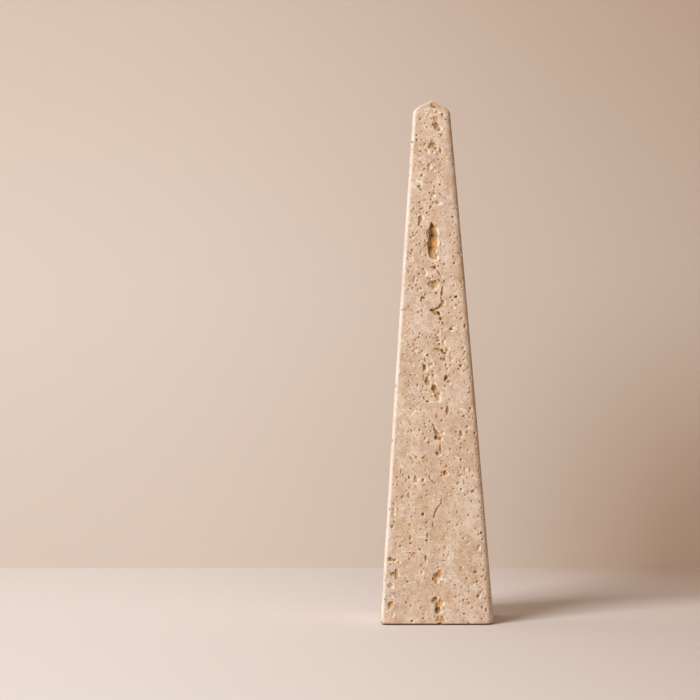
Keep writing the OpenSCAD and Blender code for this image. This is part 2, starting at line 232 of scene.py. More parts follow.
FRONT_MIDDLE = {
    "plain": [
        (34.85, -63, 1.1, 1.1), (35.6, -23, 1.3, 3.2, 20), (34.5, -49, 0.8, 0.8),
        (31.8, -55, 1.2, 2.9, -30), (32.0, -43, 1.5, 0.9), (31.85, -27, 1.8, 1.4), (30.9, -50, 1.2, 1.2),
        (30.85, -34, 1.0, 1.1), (30.4, -31, 1.0, 0.9), (28.6, -70, 1.2, 1.5), (28.1, -84, 1.4, 1.1),
        (28.1, -57, 1.9, 2.0, -40), (27.6, -63, 1.3, 1.8), (28.2, -43, 1.6, 1.3), (27.6, -27, 1.8, 2.6),
        (29.4, -21, 1.0, 2.4), (31.2, 14, 1.2, 1.5), (30.65, 13, 1.2, 1.7, 15), (30.2, 24, 1.2, 3.2, 35),
        (28.5, 13, 1.4, 1.7, 20), (27.1, 16, 1.1, 1.1), (31.7, 43, 0.9, 1.2), (31.5, 57, 1.6, 1.6),
        (30.0, 56, 1.2, 0.9), (29.6, 76, 1.3, 4.0, -15), (27.05, 49, 1.2, 2.6, 40), (26.9, 61, 1.1, 1.1),
        (28.0, 68, 1.0, 1.6, 15), (28.4, 81, 1.2, 1.4, 40), (26.2, 87, 0.9, 2.0, -60),
        (26.7, -24, 1.4, 1.3), (26.65, -82, 1.2, 1.3), (26.1, -56, 1.3, 1.0), (26.3, -43, 0.9, 2.4, -25),
        (33.55, 34, 1.1, 1.4), (33.3, 49, 1.0, 1.1), (33.75, 58, 1.4, 1.1), (33.3, 74, 1.2, 1.9),
        (32.6, 62, 0.9, 0.9), (32.5, 86, 0.9, 2.2, 60), (34.4, 93, 1.2, 1.8), (35.4, 56, 1.3, 1.6, 25),
        (35.1, 45, 1.1, 1.1), (35.1, 68, 1.2, 1.0), (34.5, 60, 1.3, 1.1), (33.4, -32, 0.9, 1.0),
        (30.6, 30, 0.9, 0.9), (32.0, 27, 0.9, 0.8), (45.7, -43, 1.5, 1.6), (45.65, -66, 1.3, 1.5, 40),
        (46.5, -66, 1.0, 1.8), (45.5, -29, 1.1, 1.6), (44.75, -20, 1.3, 1.3), (44.55, -34, 1.1, 1.5),
        (43.95, -31, 1.1, 1.4), (43.25, -26.5, 1.3, 3.0, 5), (43.45, -35, 1.0, 1.0),
        (42.6, -18, 2.1, 1.4), (43.65, -54, 1.0, 1.2), (43.0, -51, 1.0, 1.9, -10), (43.4, -71, 1.1, 1.1),
        (42.35, -38, 1.0, 1.0), (43.5, -6, 1.0, 1.1), (41.25, -58, 1.2, 1.4), (41.6, -49, 0.9, 1.0),
        (41.05, -34, 1.2, 0.9), (41.3, 18, 1.5, 1.8, -30), (39.0, 16, 1.6, 1.4),
        (38.8, 28, 0.8, 1.8, -60), (42.3, 31.5, 0.9, 2.2), (42.95, 37, 1.0, 1.1),
        (45.6, 27, 1.3, 1.3, 30), (45.6, 11, 0.8, 0.9), (44.6, 25, 1.0, 1.1), (45.2, 42, 0.8, 0.8),
        (45.2, 88, 1.3, 1.5), (44.3, 87, 1.4, 2.4, 60), (41.25, 87, 2.1, 2.1), (40.65, 82, 1.3, 1.6, -30),
        (40.4, 65, 0.8, 0.9), (40.5, 58, 0.8, 0.8), (39.8, 69, 2.2, 1.3), (39.4, 73, 1.0, 1.2),
        (39.55, 83, 1.2, 1.6, 20), (39.35, 90, 1.2, 1.4), (37.8, 76, 1.7, 1.8), (36.55, 93, 2.2, 1.8),
        (36.8, 49, 1.3, 1.3), (38.8, -13, 1.2, 1.0), (37.75, -7, 0.9, 1.2), (36.9, -10, 1.3, 1.1),
        (38.3, -24, 1.2, 1.5, -30), (37.7, -21, 0.9, 1.3), (38.25, -57, 1.0, 1.4),
        (38.7, -61, 0.8, 1.4, -30), (37.1, -36, 1.3, 1.8), (37.05, -55, 1.3, 1.0), (36.9, -62, 1.0, 0.9),
        (37.2, -47, 0.7, 0.7), (36.35, -27, 1.4, 1.8), (46.7, -28, 0.8, 2.0), (39.8, 5, 1.4, 5.0),
    ],
    "ochre": [
        (27.7, -43, 2.8, 4.6), (29.7, 65, 2.4, 2.4), (28.5, 63, 1.4, 1.6), (26.7, -89, 1.3, 1.6),
        (29.0, 51, 1.6, 4.0, 10), (28.5, 55, 2.4, 2.2), (40.9, -17, 1.4, 1.1), (40.4, -24, 1.3, 1.9, -50),
        (36.05, -41, 1.1, 0.9), (36.6, -88, 1.1, 1.8), (44.5, -13, 2.0, 6.0, -70),
        (43.5, 8, 3.4, 6.4, -12),
    ],
    "gold": [
        (28.95, 22, 3.4, 3.6, 30, 2.2), (36.7, 17, 1.9, 2.1), (46.0, -16, 2.4, 4.2, -10, 2.0),
        (44.0, 9, 2.6, 2.4, 0, 1.4), (35.5, 11.5, 2.6, 2.8, 0, 1.6), (37.2, 0, 1.8, 3.6, -25, 1.8),
    ],
    "deep": [
        (36.5, 60.5, 2.6, 4.8, -8, 1.8), (36.6, 4, 3.0, 5.0, -25, 2.5), (45.0, -1, 4.0, 8.0, -3, 3.7),
        (46.5, -20, 3.2, 6.6, 0, 2.5),
    ],
    "dark": [
        (34.75, -15, 1.5, 2.3, -20), (32.6, 5, 1.7, 3.2, -30, 2.2), (29.1, 14, 1.4, 1.4),
        (29.4, 95, 1.5, 1.4), (35.7, 2, 2.3, 3.4, 5, 3.4), (43.7, 1.5, 1.6, 1.6),
        (40.85, 30.5, 2.1, 7.0, 4, 1.9), (36.75, 75, 1.5, 1.5), (29.15, 20, 1.4, 1.8, 30, 2.8),
    ],
    "crack": [
        (33.5, 12, 1.8, 7.5, -8, 1.6), (28.25, -12.6, 1.1, 2.4, -8), (27.75, -10.5, 1.1, 2.6, -35),
        (27.35, -6.5, 1.1, 2.6, -50), (27.05, -2, 1.0, 2.6, -70), (29.7, -2, 0.7, 3.4, 25),
        (29.2, -76, 0.8, 4.0, 5), (28.6, -19, 0.8, 2.5, -15), (38.0, -3.5, 1.2, 3.6, -25),
        (27.3, 61, 0.8, 3.0, -15),
    ],
    "pale": [
        (30.4, -77, 2.2, 4.0, -35), (26.4, -51, 1.5, 1.6), (40.5, -53, 2.0, 5.6, 42),
        (44.6, 66, 1.3, 1.3),
    ],
}
FRONT_UPPER = {
    "plain": [
        (59.65, -46, 1.5, 1.5), (59.9, -35, 1.2, 1.2), (58.9, -35, 0.9, 1.5), (57.6, 16, 1.2, 1.3),
        (56.2, 2, 1.3, 1.4), (56.4, 49, 2.8, 1.3), (58.45, 81, 1.5, 1.8, 30), (58.55, 69, 1.2, 1.4),
        (59.0, 65, 0.9, 0.8), (58.8, 56, 0.8, 1.2), (59.5, 45, 0.9, 1.2, 30), (59.6, 77, 1.0, 1.0),
        (57.6, -71, 1.0, 1.8, 15), (56.3, -69, 1.0, 1.2), (55.55, -40, 1.2, 1.8, -15),
        (54.85, -42, 1.4, 1.5, 30), (55.5, -57, 0.9, 1.0, 30), (55.4, -6, 0.9, 1.3, 15),
        (55.25, 6.5, 1.2, 1.8), (54.6, 2, 1.1, 2.6, 60), (54.6, 31.5, 1.2, 1.2), (54.8, -20, 1.0, 1.5),
        (54.9, -11, 0.9, 0.9), (54.3, -53, 1.2, 1.5, 30), (53.5, -56, 1.0, 3.2, -20),
        (53.4, -70, 1.3, 1.2), (52.9, -65, 1.2, 1.9, -50), (53.9, -72, 0.8, 1.0), (52.75, -47, 1.2, 1.0),
        (52.2, -33, 1.5, 1.7, -30), (51.85, -39, 1.4, 1.1), (52.2, -57, 1.2, 0.9), (51.6, -52, 1.0, 1.1),
        (51.5, -84.5, 1.2, 1.1), (51.2, -70, 1.0, 1.2), (51.6, 15, 1.1, 1.4), (51.1, 29.5, 1.0, 2.2),
        (50.5, -24, 1.5, 3.2, -15), (50.3, -39, 1.1, 1.1), (49.5, -29, 1.2, 3.0),
        (48.4, -28, 1.2, 2.4, -5), (48.35, -5, 1.4, 1.5), (49.6, 5, 0.8, 2.4, -20), (49.5, 31, 1.3, 3.2),
        (48.8, 33.5, 1.1, 2.4, 30), (49.55, 43, 1.3, 1.6), (49.45, 70, 2.1, 2.0), (50.25, 69, 1.3, 1.5),
        (48.8, 64, 1.4, 1.3), (48.7, 83, 1.3, 1.2), (49.0, 89, 1.3, 1.3), (48.45, 78, 1.3, 1.2),
        (48.2, 51, 1.3, 1.3), (47.15, 93, 1.6, 1.4), (47.65, -62, 1.3, 1.3), (47.6, -73, 0.9, 1.0),
        (47.6, -49, 1.0, 1.6), (48.3, -75, 1.0, 1.2), (47.3, -27.5, 1.1, 3.0), (52.75, 79, 1.2, 2.2, 35),
        (52.1, 84, 1.4, 1.2, 30), (51.7, 81, 1.2, 1.1, -40), (54.7, 92, 1.1, 2.0), (51.2, 75, 1.0, 1.0),
        (50.6, 79, 1.0, 1.2), (50.1, 60, 1.0, 1.2), (55.8, 67, 1.0, 1.0), (54.4, 62, 0.9, 1.0),
        (53.6, 0, 0.9, 1.0), (73.0, -26, 1.2, 3.8, -25), (72.3, -27, 1.4, 1.4), (72.7, -46, 1.5, 1.5),
        (72.5, -56, 1.1, 1.2), (74.6, -30, 1.1, 1.3), (74.8, -71, 1.2, 1.3), (74.85, -56, 1.3, 2.4, 60),
        (74.3, -67, 1.0, 2.2, 55), (73.1, -65, 0.9, 1.1), (73.1, -77, 0.9, 1.4),
        (71.5, -71, 1.5, 2.6, -15), (70.85, -75, 1.4, 2.5, -30), (71.2, -41, 1.1, 2.6, 10),
        (70.75, -41.5, 1.0, 1.5), (70.45, -24, 1.3, 1.3), (69.9, -87, 1.0, 0.9),
        (69.3, -32, 1.1, 1.6, -20), (68.3, -76, 1.2, 1.5), (67.85, -33, 1.6, 2.1), (66.9, -46, 1.5, 2.3),
        (67.35, -80, 1.4, 2.9, -15), (66.3, -61, 1.5, 2.6, 20), (65.6, -63, 1.2, 2.4, -15),
        (64.8, -54, 1.2, 2.0, 20), (64.7, -75, 1.2, 1.7, -15), (64.2, -65, 1.2, 2.3),
        (64.15, -40, 1.4, 1.2), (63.9, -48, 1.2, 1.6, -30), (63.9, -80, 1.0, 1.7, 50),
        (63.2, -37, 1.2, 1.2), (63.0, -26, 1.4, 1.7, 40), (62.0, -36.5, 1.5, 4.4, 5),
        (62.4, -32, 3.2, 1.3), (62.25, -28, 1.1, 1.6, -15), (60.7, -75, 1.2, 1.2), (60.1, -86, 1.2, 1.0),
        (60.1, -95, 1.0, 1.0), (68.25, -3, 1.8, 1.2), (68.35, 17, 1.1, 1.5, -30), (68.8, 36, 1.5, 1.5),
        (69.5, 23, 1.2, 1.2), (69.0, 70, 1.9, 1.5), (68.9, 0, 1.0, 1.2), (66.35, -1, 1.2, 1.5),
        (66.2, 9, 1.0, 1.4, -30), (62.45, 53, 1.4, 1.5), (61.9, 57, 1.2, 1.3), (60.95, 68, 1.5, 1.4),
        (61.5, 78, 1.2, 2.0), (65.55, 87, 1.2, 2.6, 15), (65.2, 91, 1.0, 1.8, -50), (64.3, 88, 1.1, 1.2),
        (66.4, 57, 1.1, 1.3), (70.25, 69, 1.5, 2.2, -30), (70.95, 87, 1.3, 1.2), (70.75, 93, 1.6, 1.6),
        (72.8, 77, 1.3, 2.2), (73.8, 89, 1.3, 1.3), (74.7, 79, 1.1, 1.3), (74.35, 63, 1.3, 1.6, 30),
        (72.2, 39, 1.0, 1.3), (73.0, 62, 1.0, 1.2), (71.5, 70, 1.0, 1.0), (64.7, 64, 1.1, 1.1),
        (59.6, 80, 1.1, 1.1), (59.5, 46, 1.2, 1.2),
    ],
    "ochre": [
        (56.4, 26, 1.6, 1.4), (55.35, -84, 1.0, 2.6, 60), (50.55, -10, 1.5, 2.8, -10),
        (69.65, -69, 1.4, 2.9), (69.5, -81, 1.2, 1.2), (67.05, -24, 1.9, 4.9, 3),
        (65.65, -47, 1.3, 2.8, 8), (60.8, -31, 1.4, 1.8), (67.6, -1, 1.4, 2.4), (60.6, 27, 1.6, 1.6),
        (60.5, 57, 1.9, 1.9), (72.5, 30, 1.7, 1.9), (73.85, -76, 2.4, 1.2), (50.7, 44.5, 2.0, 4.4, -5),
        (65.0, -9, 3.6, 6.0, -15, 1.6), (65.0, 0, 3.6, 6.8, 5, 2.0), (65.15, 8, 3.2, 5.2, -20, 1.5),
        (66.0, -14, 3.2, 1.8, 0, 1.0), (64.6, -4, 5.2, 3.2, 0, 1.7),
    ],
    "gold": [
        (55.8, 14, 2.0, 2.8), (54.2, 11, 3.0, 2.6), (53.9, 25, 2.1, 3.4), (52.3, 34.5, 2.3, 4.6, 8),
        (49.5, -12, 2.0, 2.2), (49.7, -5, 2.0, 1.7), (47.75, -13, 1.9, 2.8, 10), (47.6, -3.5, 2.6, 2.2),
        (47.4, 40, 1.5, 4.4, -30), (46.35, 37, 3.0, 2.4), (61.55, 31.5, 1.8, 2.8),
    ],
    "slot": [(65.5, -6, 0.7, 3.2, -38, 2.2), (65.6, 6, 0.7, 3.0, 32, 2.2), (64.8, 1, 0.7, 2.4, 0, 2.4)],
    "deep": [
        (49.1, -25.5, 2.6, 4.4, 0, 3.0), (59.9, -2, 2.8, 5.4, -55, 2.8), (59.4, 5, 2.6, 3.4, -50, 2.2),
        (58.35, 20, 2.7, 2.7, 0, 2.2), (58.5, 28, 1.0, 2.6, 25), (60.1, -2, 5.0, 1.9, 0, 2.4),
        (60.4, 12, 1.9, 4.6, 62, 2.0), (50.6, 26, 2.2, 3.4, -65, 1.8), (50.75, 19, 1.8, 2.2, -50),
        (52.5, 11, 2.0, 6.2, -72, 1.8),
    ],
    "dark": [
        (59.4, 15, 1.9, 3.8, -35, 3.2), (57.0, 89, 1.7, 3.8, 5), (54.85, 10, 1.2, 1.2),
        (53.55, 14.5, 1.6, 1.6), (51.5, -18, 1.6, 2.2, 10), (52.2, 22, 1.8, 3.6, -25, 2.4),
        (51.8, 28, 1.8, 2.8, -50, 2.2), (47.2, 30, 2.2, 4.2, 20, 3.0), (46.7, 27, 1.6, 2.4, 20),
        (68.15, 5, 2.0, 2.4, 0, 2.2), (62.6, 69, 2.3, 1.8, 0, 2.4), (63.3, 8.5, 1.5, 1.6),
        (63.3, 25.5, 1.6, 4.6, 5, 1.9), (61.7, 25.5, 1.6, 2.4, -25, 1.7), (60.9, 20.5, 1.9, 4.2, 30, 2.2),
    ],
    "crack": [
        (57.5, 26.5, 1.3, 4.8, -22), (66.95, 19, 1.3, 9.0, -33), (65.65, 18.5, 1.3, 3.6, -35),
        (65.5, 33.5, 1.2, 3.6, 38), (64.2, 28, 1.3, 3.4, 10), (62.2, 23, 1.1, 2.2, -5),
        (51.8, 43, 0.9, 3.0, 10),
    ],
    "pale": [
        (49.85, -69, 1.5, 1.5), (49.6, -56, 1.6, 3.0, 15), (60.9, -55, 1.9, 7.2, -55),
        (60.4, -46, 2.4, 2.6), (71.3, 19, 1.7, 3.4, 10, 0.8),
    ],
}
# Outline of the largest void from its floor up: (percent up the height, left and right edges in mm from
# the front's middle, depth in mm)
LARGEST_OUTLINE = [
    (69.75, 0.0, 1.2, 1.0), (69.95, -1.9, 2.5, 2.0), (70.25, -3.1, 3.0, 2.4), (70.8, -3.7, 2.4, 2.8),
    (71.4, -4.0, 1.7, 3.6), (72.0, -4.1, 2.1, 5.2), (72.5, -4.0, 3.3, 4.4), (73.2, -3.8, 3.5, 3.9),
    (73.7, -3.6, 3.3, 4.2), (74.1, -3.4, 3.1, 5.8), (74.7, -3.3, 3.2, 5.8), (75.1, -3.2, 3.1, 4.2),
    (75.8, -2.8, 2.3, 4.0), (76.25, -2.2, 0.9, 4.4), (76.7, -1.7, -0.4, 3.4), (76.9, -1.3, -1.0, 2.0),
]
# Golden crystal and dark hollows in the largest void: (percent up the height, mm across from the
# front's middle, radius in mm, strength)
LARGEST_CRYSTAL = [
    (75.3, 1.6, 2.4, 1.1), (72.9, 2.0, 3.2, 1.1), (70.7, 0.6, 2.8, 0.42), (70.3, 1.6, 0.9, 0.7),
]
LARGEST_HOLLOWS = [
    (76.4, -1.4, 1.7, 1.1), (74.4, -1.2, 1.5, 1.1), (71.9, -2.6, 2.0, 1.1), (70.9, -0.6, 0.8, 1.1),
]
# Ledges and cracks in the largest void, and the lip that is worn into the stone round its right side
FRONT_LARGEST = {
    "ochre": [(74.5, -16, 3.4, 8.6, -2, 1.4), (72.6, -14, 2.4, 5.6, 8, 2.0), (76.2, 16, 1.4, 1.0)],
    "lip": [
        (75.2, 14, 2.6, 8.6, -6, 1.2), (73.0, 16, 2.6, 9.8, 0, 1.3), (71.4, 11, 2.8, 5.2, 0, 1.3),
        (70.2, 13, 2.8, 5.4, -8, 1.2), (69.6, 3, 5.6, 1.8, 0, 0.6),
    ],
    "slot": [
        (70.75, -3, 0.7, 2.6, 50, 3.2), (70.5, 9, 0.7, 1.9, -40, 3.0), (71.2, 5, 0.6, 1.6, 20, 3.4),
        (70.2, 1, 0.6, 1.2, -60, 2.8),
    ],
}
FRONT_TOP = {
    "plain": [
        (97.3, 57, 1.8, 2.2), (96.4, 73, 1.2, 1.4), (97.8, -7, 0.9, 1.0), (97.9, -24, 0.9, 0.9),
        (97.3, -15, 1.0, 1.2), (96.9, -24, 0.8, 0.8), (96.6, -2, 1.3, 1.4), (96.45, -58, 1.5, 1.9),
        (95.65, -34, 1.0, 0.9), (94.9, -24, 1.1, 1.5, 20), (93.4, 47, 1.3, 2.8, 12),
        (93.4, -73, 1.3, 1.4), (92.5, -71, 1.6, 1.6), (92.45, -48, 1.0, 1.4), (91.75, -32, 1.4, 1.6, 15),
        (90.4, 40, 1.8, 4.2, -12), (90.35, -53, 1.6, 1.6), (89.4, -60, 0.9, 1.4), (90.2, 5, 1.1, 1.3),
        (88.2, -51, 1.3, 1.2), (87.7, -42, 1.1, 1.0), (86.9, -34, 1.4, 1.4), (86.75, -16, 1.0, 2.0, -35),
        (87.15, 14, 1.1, 2.8, -40), (86.3, 28, 1.2, 0.9), (88.8, 29, 1.2, 1.1), (88.8, 47, 1.1, 1.1),
        (88.65, 9, 0.9, 1.0), (88.25, -1, 0.8, 1.4), (87.7, 32, 0.9, 1.2, 40), (87.5, 38, 1.0, 1.0),
        (87.8, 94, 1.2, 1.3), (85.7, -45, 1.8, 1.9), (85.4, 47, 1.1, 1.3), (84.4, -1, 1.2, 1.3),
        (84.0, 32, 1.5, 1.1), (84.15, 67, 1.0, 1.0), (84.3, -24, 0.9, 0.9), (83.6, -54, 1.9, 2.3),
        (83.05, -47, 1.5, 2.8, -25), (83.5, 10, 1.1, 2.6, -30), (82.85, 7, 1.2, 1.2), (82.3, 8, 1.5, 1.4),
        (81.1, -6, 1.4, 1.5), (82.4, -11, 1.5, 1.6), (82.15, 32, 1.1, 2.5, -8), (81.45, 53, 0.9, 1.1),
        (83.2, 65, 1.0, 1.1), (80.5, 1, 1.3, 2.1), (81.0, -32, 1.4, 1.3), (80.6, -50, 1.7, 1.5),
        (80.3, -22, 0.9, 0.9), (79.4, -72, 1.3, 1.2), (80.5, -73, 0.9, 0.9), (79.35, -43, 1.4, 2.8, 60),
        (78.9, -32, 0.9, 1.2), (78.1, -15, 0.9, 0.9), (78.3, -61, 1.1, 1.0), (78.6, -47, 0.9, 1.4, 45),
        (75.95, -41, 1.3, 1.3), (77.8, 76, 1.5, 2.1), (76.8, 75, 0.8, 1.8), (78.6, 51, 0.9, 1.0),
        (79.0, 3, 0.9, 0.8), (79.3, 81, 0.9, 1.0),
    ],
    "ochre": [
        (96.65, 18, 2.2, 2.2), (97.4, -61, 0.8, 1.5), (91.3, -37, 1.3, 1.5, 15), (91.75, 50, 0.9, 1.7),
        (90.35, -22, 2.1, 3.2, -30), (87.1, -76, 1.6, 1.5), (87.3, -11, 2.2, 2.6), (86.7, 7, 1.6, 1.4),
        (82.0, 1, 2.6, 3.6, 25), (81.6, -4, 1.4, 2.4, 20), (76.0, -82, 2.3, 1.9), (92.0, 0, 2.6, 4.4, 5),
        (91.5, 3, 4.6, 4.0, 0, 1.8), (91.6, 12, 2.6, 4.0, -15, 1.7), (97.85, 29, 2.6, 2.4),
    ],
    "gold": [(80.55, 18, 4.0, 2.3), (96.3, 22, 3.0, 2.0, 0, 0.9)],
    "flake": [(99.27, 20, 5.6, 8.6, -28, 1.1)],
    "slot": [(98.88, 9, 2.2, 6.8, -30, 3.2), (98.9, 30, 0.8, 1.0, 0, 1.9), (98.85, 42, 0.8, 1.2, 0, 1.6)],
    "deep": [
        (91.2, -8, 2.8, 2.4, 0, 1.8), (95.0, 27, 3.6, 5.8, -32, 2.9), (95.4, 15, 2.8, 3.4, -15, 1.8),
        (94.5, 36, 2.6, 2.4, 0, 1.8), (96.75, 11, 1.5, 1.9, -10, 1.4), (96.85, 26, 1.2, 1.4),
        (77.4, -46, 3.0, 4.8, 8, 2.4),
    ],
    "dark": [(95.7, 23, 1.3, 1.9, 0, 2.0), (90.85, 17, 1.8, 1.6), (78.6, -21, 1.2, 1.7, 10)],
    "crack": [(87.75, -15, 1.4, 3.2, 45), (79.7, -8, 1.4, 3.6, 25), (76.5, -51, 1.4, 4.4, 5)],
    "pale": [(95.6, 12, 2.0, 2.8), (93.9, 20, 1.0, 1.0)],
}
# Larger voids of the other three sides. Each is (share of the height, place across from -1 to 1,
# then its width, length and depth as shares of the largest void's, and its lean in degrees).
OTHER_SIDES = {
    RIGHT: [
        (0.885, 0.15, 0.40, 0.20, 0.35, 12), (0.790, -0.30, 0.44, 0.24, 0.40, -10),
        (0.700, 0.34, 0.60, 0.36, 0.55, 8), (0.655, 0.20, 0.36, 0.20, 0.36, -18),
        (0.520, -0.42, 0.50, 0.30, 0.46, 5), (0.430, 0.46, 0.42, 0.22, 0.40, -25),
        (0.330, -0.12, 0.66, 0.48, 0.62, 10), (0.290, 0.02, 0.40, 0.20, 0.40, 30),
        (0.185, 0.55, 0.46, 0.26, 0.42, -6), (0.090, -0.60, 0.56, 0.24, 0.44, 14),
    ],
    BACK: [
        (0.925, -0.20, 0.44, 0.20, 0.34, -15), (0.820, 0.22, 0.40, 0.28, 0.40, 6),
        (0.640, -0.12, 0.72, 0.56, 0.66, 4), (0.585, 0.10, 0.40, 0.22, 0.42, -20),
        (0.470, 0.44, 0.46, 0.20, 0.36, 16), (0.400, -0.50, 0.42, 0.26, 0.40, -8),
        (0.280, 0.16, 0.60, 0.34, 0.54, -5), (0.235, 0.26, 0.38, 0.18, 0.38, 24),
        (0.130, -0.38, 0.52, 0.30, 0.46, 10), (0.050, 0.60, 0.50, 0.20, 0.40, -12),
    ],
    LEFT: [
        (0.860, 0.10, 0.42, 0.26, 0.38, 8), (0.745, -0.34, 0.40, 0.20, 0.36, -22),
        (0.610, 0.26, 0.56, 0.34, 0.52, -6), (0.550, 0.12, 0.38, 0.22, 0.40, 18),
        (0.455, -0.28, 0.62, 0.42, 0.56, 3), (0.360, 0.54, 0.42, 0.20, 0.38, -14),
        (0.245, -0.16, 0.44, 0.28, 0.42, 12), (0.160, 0.40, 0.58, 0.26, 0.46, -4),
        (0.070, -0.48, 0.48, 0.22, 0.42, 20),
    ],
}


def screen_colour(red, green, blue):
    """Return a colour picked on a screen, 0 to 255, as the linear colour that a shader takes."""
    return tuple((part / 255 / 12.92) if part <= 10 else ((part / 255 + 0.055) / 1.055) ** 2.4
                 for part in (red, green, blue))


def length_setting(name, description, default, least, most):
    """Return a setting that is a length."""
    return FloatProperty(name=name, description=description, default=default, min=least, max=most,
                         unit="LENGTH")


def colour_setting(name, description, *on_screen):
    """Return a setting that is a colour, given as it is picked on a screen."""
    return FloatVectorProperty(name=name, description=description, default=screen_colour(*on_screen),
                               min=0, max=1, subtype="COLOR")


class ObeliskBlockSizes(bpy.types.PropertyGroup):
    """Sizes of the dressed block."""

    top_width: length_setting(
        "Top width", "Width of the shaft where the low point begins", TOP_WIDTH, 0.02, 0.04)
    drift: length_setting(
        "Drift", "How far to the right the hand-cut shaft's top stands, or to the left where below nought",
        DRIFT, -0.006, 0.006)
    point_height: length_setting(
        "Point height", "Height of the low four-sided point", POINT_HEIGHT, 0.005, 0.015)
    edge_radius: length_setting(
        "Edge radius", "Radius of the two rounded long edges on the left", 3.5 * MM, 0.001, 0.008)
    right_edge_radius: length_setting(
        "Right edge radius", "Radius of the two long edges on the right, which are rounder",
        4.6 * MM, 0.001, 0.008)
    shoulder_radius: length_setting(
        "Shoulder radius", "Radius between the shaft and the point", 2.0 * MM, 0.001, 0.006)
    point_bulge: length_setting(
        "Point bulge", "How far the point's flanks swell beyond a true pyramid", 1.5 * MM, 0, 0.003)
    point_shift: length_setting(
        "Point shift", "How far the tip stands to the right of the shaft's middle",
        0.1 * MM, -0.003, 0.003)
    foot_radius: length_setting(
        "Foot radius", "Radius of the softened edge round the foot", 2.3 * MM, 0.0005, 0.004)
    foot_wear: length_setting(
        "Foot wear", "How far the corners and the left and right sides are rubbed back at the foot",
        1.2 * MM, 0, 0.003)
    tip_radius: length_setting("Tip radius", "Radius of the worn tip", 0.3 * MM, 0.0002, 0.003)
    swell: length_setting(
        "Swell", "How far the sides swell beyond a straight taper, two thirds of the way up",
        0.34 * MM, 0, 0.001)
    waviness: length_setting(
        "Waviness", "How far the hand-rubbed faces dip below a true plane", 0.12 * MM, 0, 0.0004)


class ObeliskVoidSizes(bpy.types.PropertyGroup):
    """How the voids in the stone are spread."""

    seed: IntProperty(
        name="Seed", description="Which spread of voids the sides away from the front get",
        default=5, min=0)
    scattered: IntProperty(
        name="Scattered voids", description="Small voids on each side away from the front",
        default=470, min=0, max=800)
    ragged: FloatProperty(
        name="Raggedness", description="How far a void's wall wanders, as a share of its width",
        default=0.42, min=0, max=0.8, subtype="FACTOR")
    opening: length_setting(
        "Opening", "How much wider and longer than listed a void of the front is cut", 0.4 * MM, 0, 0.001)
    lip: length_setting(
        "Lip", "How much wider than a large void its shallow worn lip is", 1.6 * MM, 0, 0.003)
    least_lipped: length_setting(
        "Least lipped width", "Width from which a void of the front has a worn lip", 1.4 * MM, 0, 0.01)


class ObeliskStoneColours(bpy.types.PropertyGroup):
    """Colours of the travertine."""

    peach: colour_setting("Peach", "Warm ground colour of the honed faces", 214, 184, 159)
    cream: colour_setting("Cream", "Pale clouds on the honed faces", 226, 203, 182)
    grey: colour_setting("Grey", "Cooler patches on the honed faces", 213, 193, 180)
    ochre: colour_setting("Ochre", "Rusty stain beside veins and voids", 214, 171, 126)
    # Painted highlight: this pale colour is laid along the edges and hips on the lit left side
    edge_highlight: colour_setting("Worn", "Rubbed stone along the edges", 238, 229, 219)
    calcite: colour_setting("Calcite", "White crystal in seams and flecks", 243, 231, 216)
    lining: colour_setting("Void lining", "Stone a little way into a void", 190, 149, 108)
    deep: colour_setting("Void depths", "Stone deep inside a void", 156, 112, 66)
    golden: colour_setting(
        "Golden crystal", "Glassy yellow crystal that lines some voids", 223, 165, 86)
    olive: colour_setting("Olive crystal", "Dull pale crystal that lines other voids", 204, 170, 122)
    # Painted shade: a near-black line where the foot meets the table, standing in for its contact shadow
    contact_shade: colour_setting("Foot seam", "Dirt along the line where the foot meets the table", 84, 46, 18)


class ObeliskStageSettings(bpy.types.PropertyGroup):
    """Floor, backdrop and light round the obelisk."""

    floor_colour: colour_setting("Floor", "Colour of the plain table top", 241, 236, 237)
    # Painted shade: the colour that the table top darkens towards on the right and in its far corner
    floor_shaded_colour: colour_setting(
        "Floor far right", "Colour of the plain table top in its far right corner", 190, 168, 152)
    wall_colour: colour_setting(
        "Backdrop", "Colour of the plain backdrop in its middle", 223, 211, 202)
    # Painted shade: the colour that the backdrop darkens towards upwards, to the right and low on the right
    wall_shaded_colour: colour_setting(
        "Backdrop low right", "Colour of the plain backdrop in its lower right corner", 189, 166, 149)
    wall_distance: length_setting(
        "Backdrop distance", "How far behind the obelisk's axis the backdrop stands", 0.483, 0.2, 2)
    key_power: FloatProperty(
        name="Key lamp", description="Power of the soft lamp on the left",
        default=322, min=0, unit="POWER")
    room_light: FloatProperty(
        name="Room light", description="Strength of the even light from all round",
        default=0.156, min=0, max=1)


def face_frame(sizes, side):
    """Return a side's middle at the foot and at the shaft's top, its direction across and outwards."""
    quarter = Matrix.Rotation(math.radians(90 * side), 3, "Z")
    across = quarter @ Vector((1, 0, 0))
    out = quarter @ Vector((0, -1, 0))
    low = out * FOOT_WIDTH / 2
    high = out * sizes.top_width / 2 + Vector((sizes.drift, 0, HEIGHT - sizes.point_height))
    return low, high, across, across.cross(high - low).normalized()


def on_face(sizes, side, up, share):
    """Return the point on a flat side at a share of the height, and at a share across from its middle."""
    low, high, across, out = face_frame(sizes, side)
    rise = up * HEIGHT / (HEIGHT - sizes.point_height)
    half = (FOOT_WIDTH + (sizes.top_width - FOOT_WIDTH) * rise) / 2
    return low.lerp(high, rise) + across * share * half, out


def half_width(up):
    """Return about half the block's width at a share of the height."""
    return (FOOT_WIDTH + (TOP_WIDTH - FOOT_WIDTH) * up) / 2


def round_off(block, parts, radius, segments, affect="EDGES"):
    """Round some edges or corners of the block."""
    bmesh.ops.bevel(block, geom=parts, offset=radius, offset_type="OFFSET", affect=affect,
                    segments=segments, profile=0.5, material=-1)


def level_edges(block, height):
    """Return the edges that run round the block at a height."""
    return [edge for edge in block.edges if all(abs(end.co.z - height) < MM / 10 for end in edge.verts)]


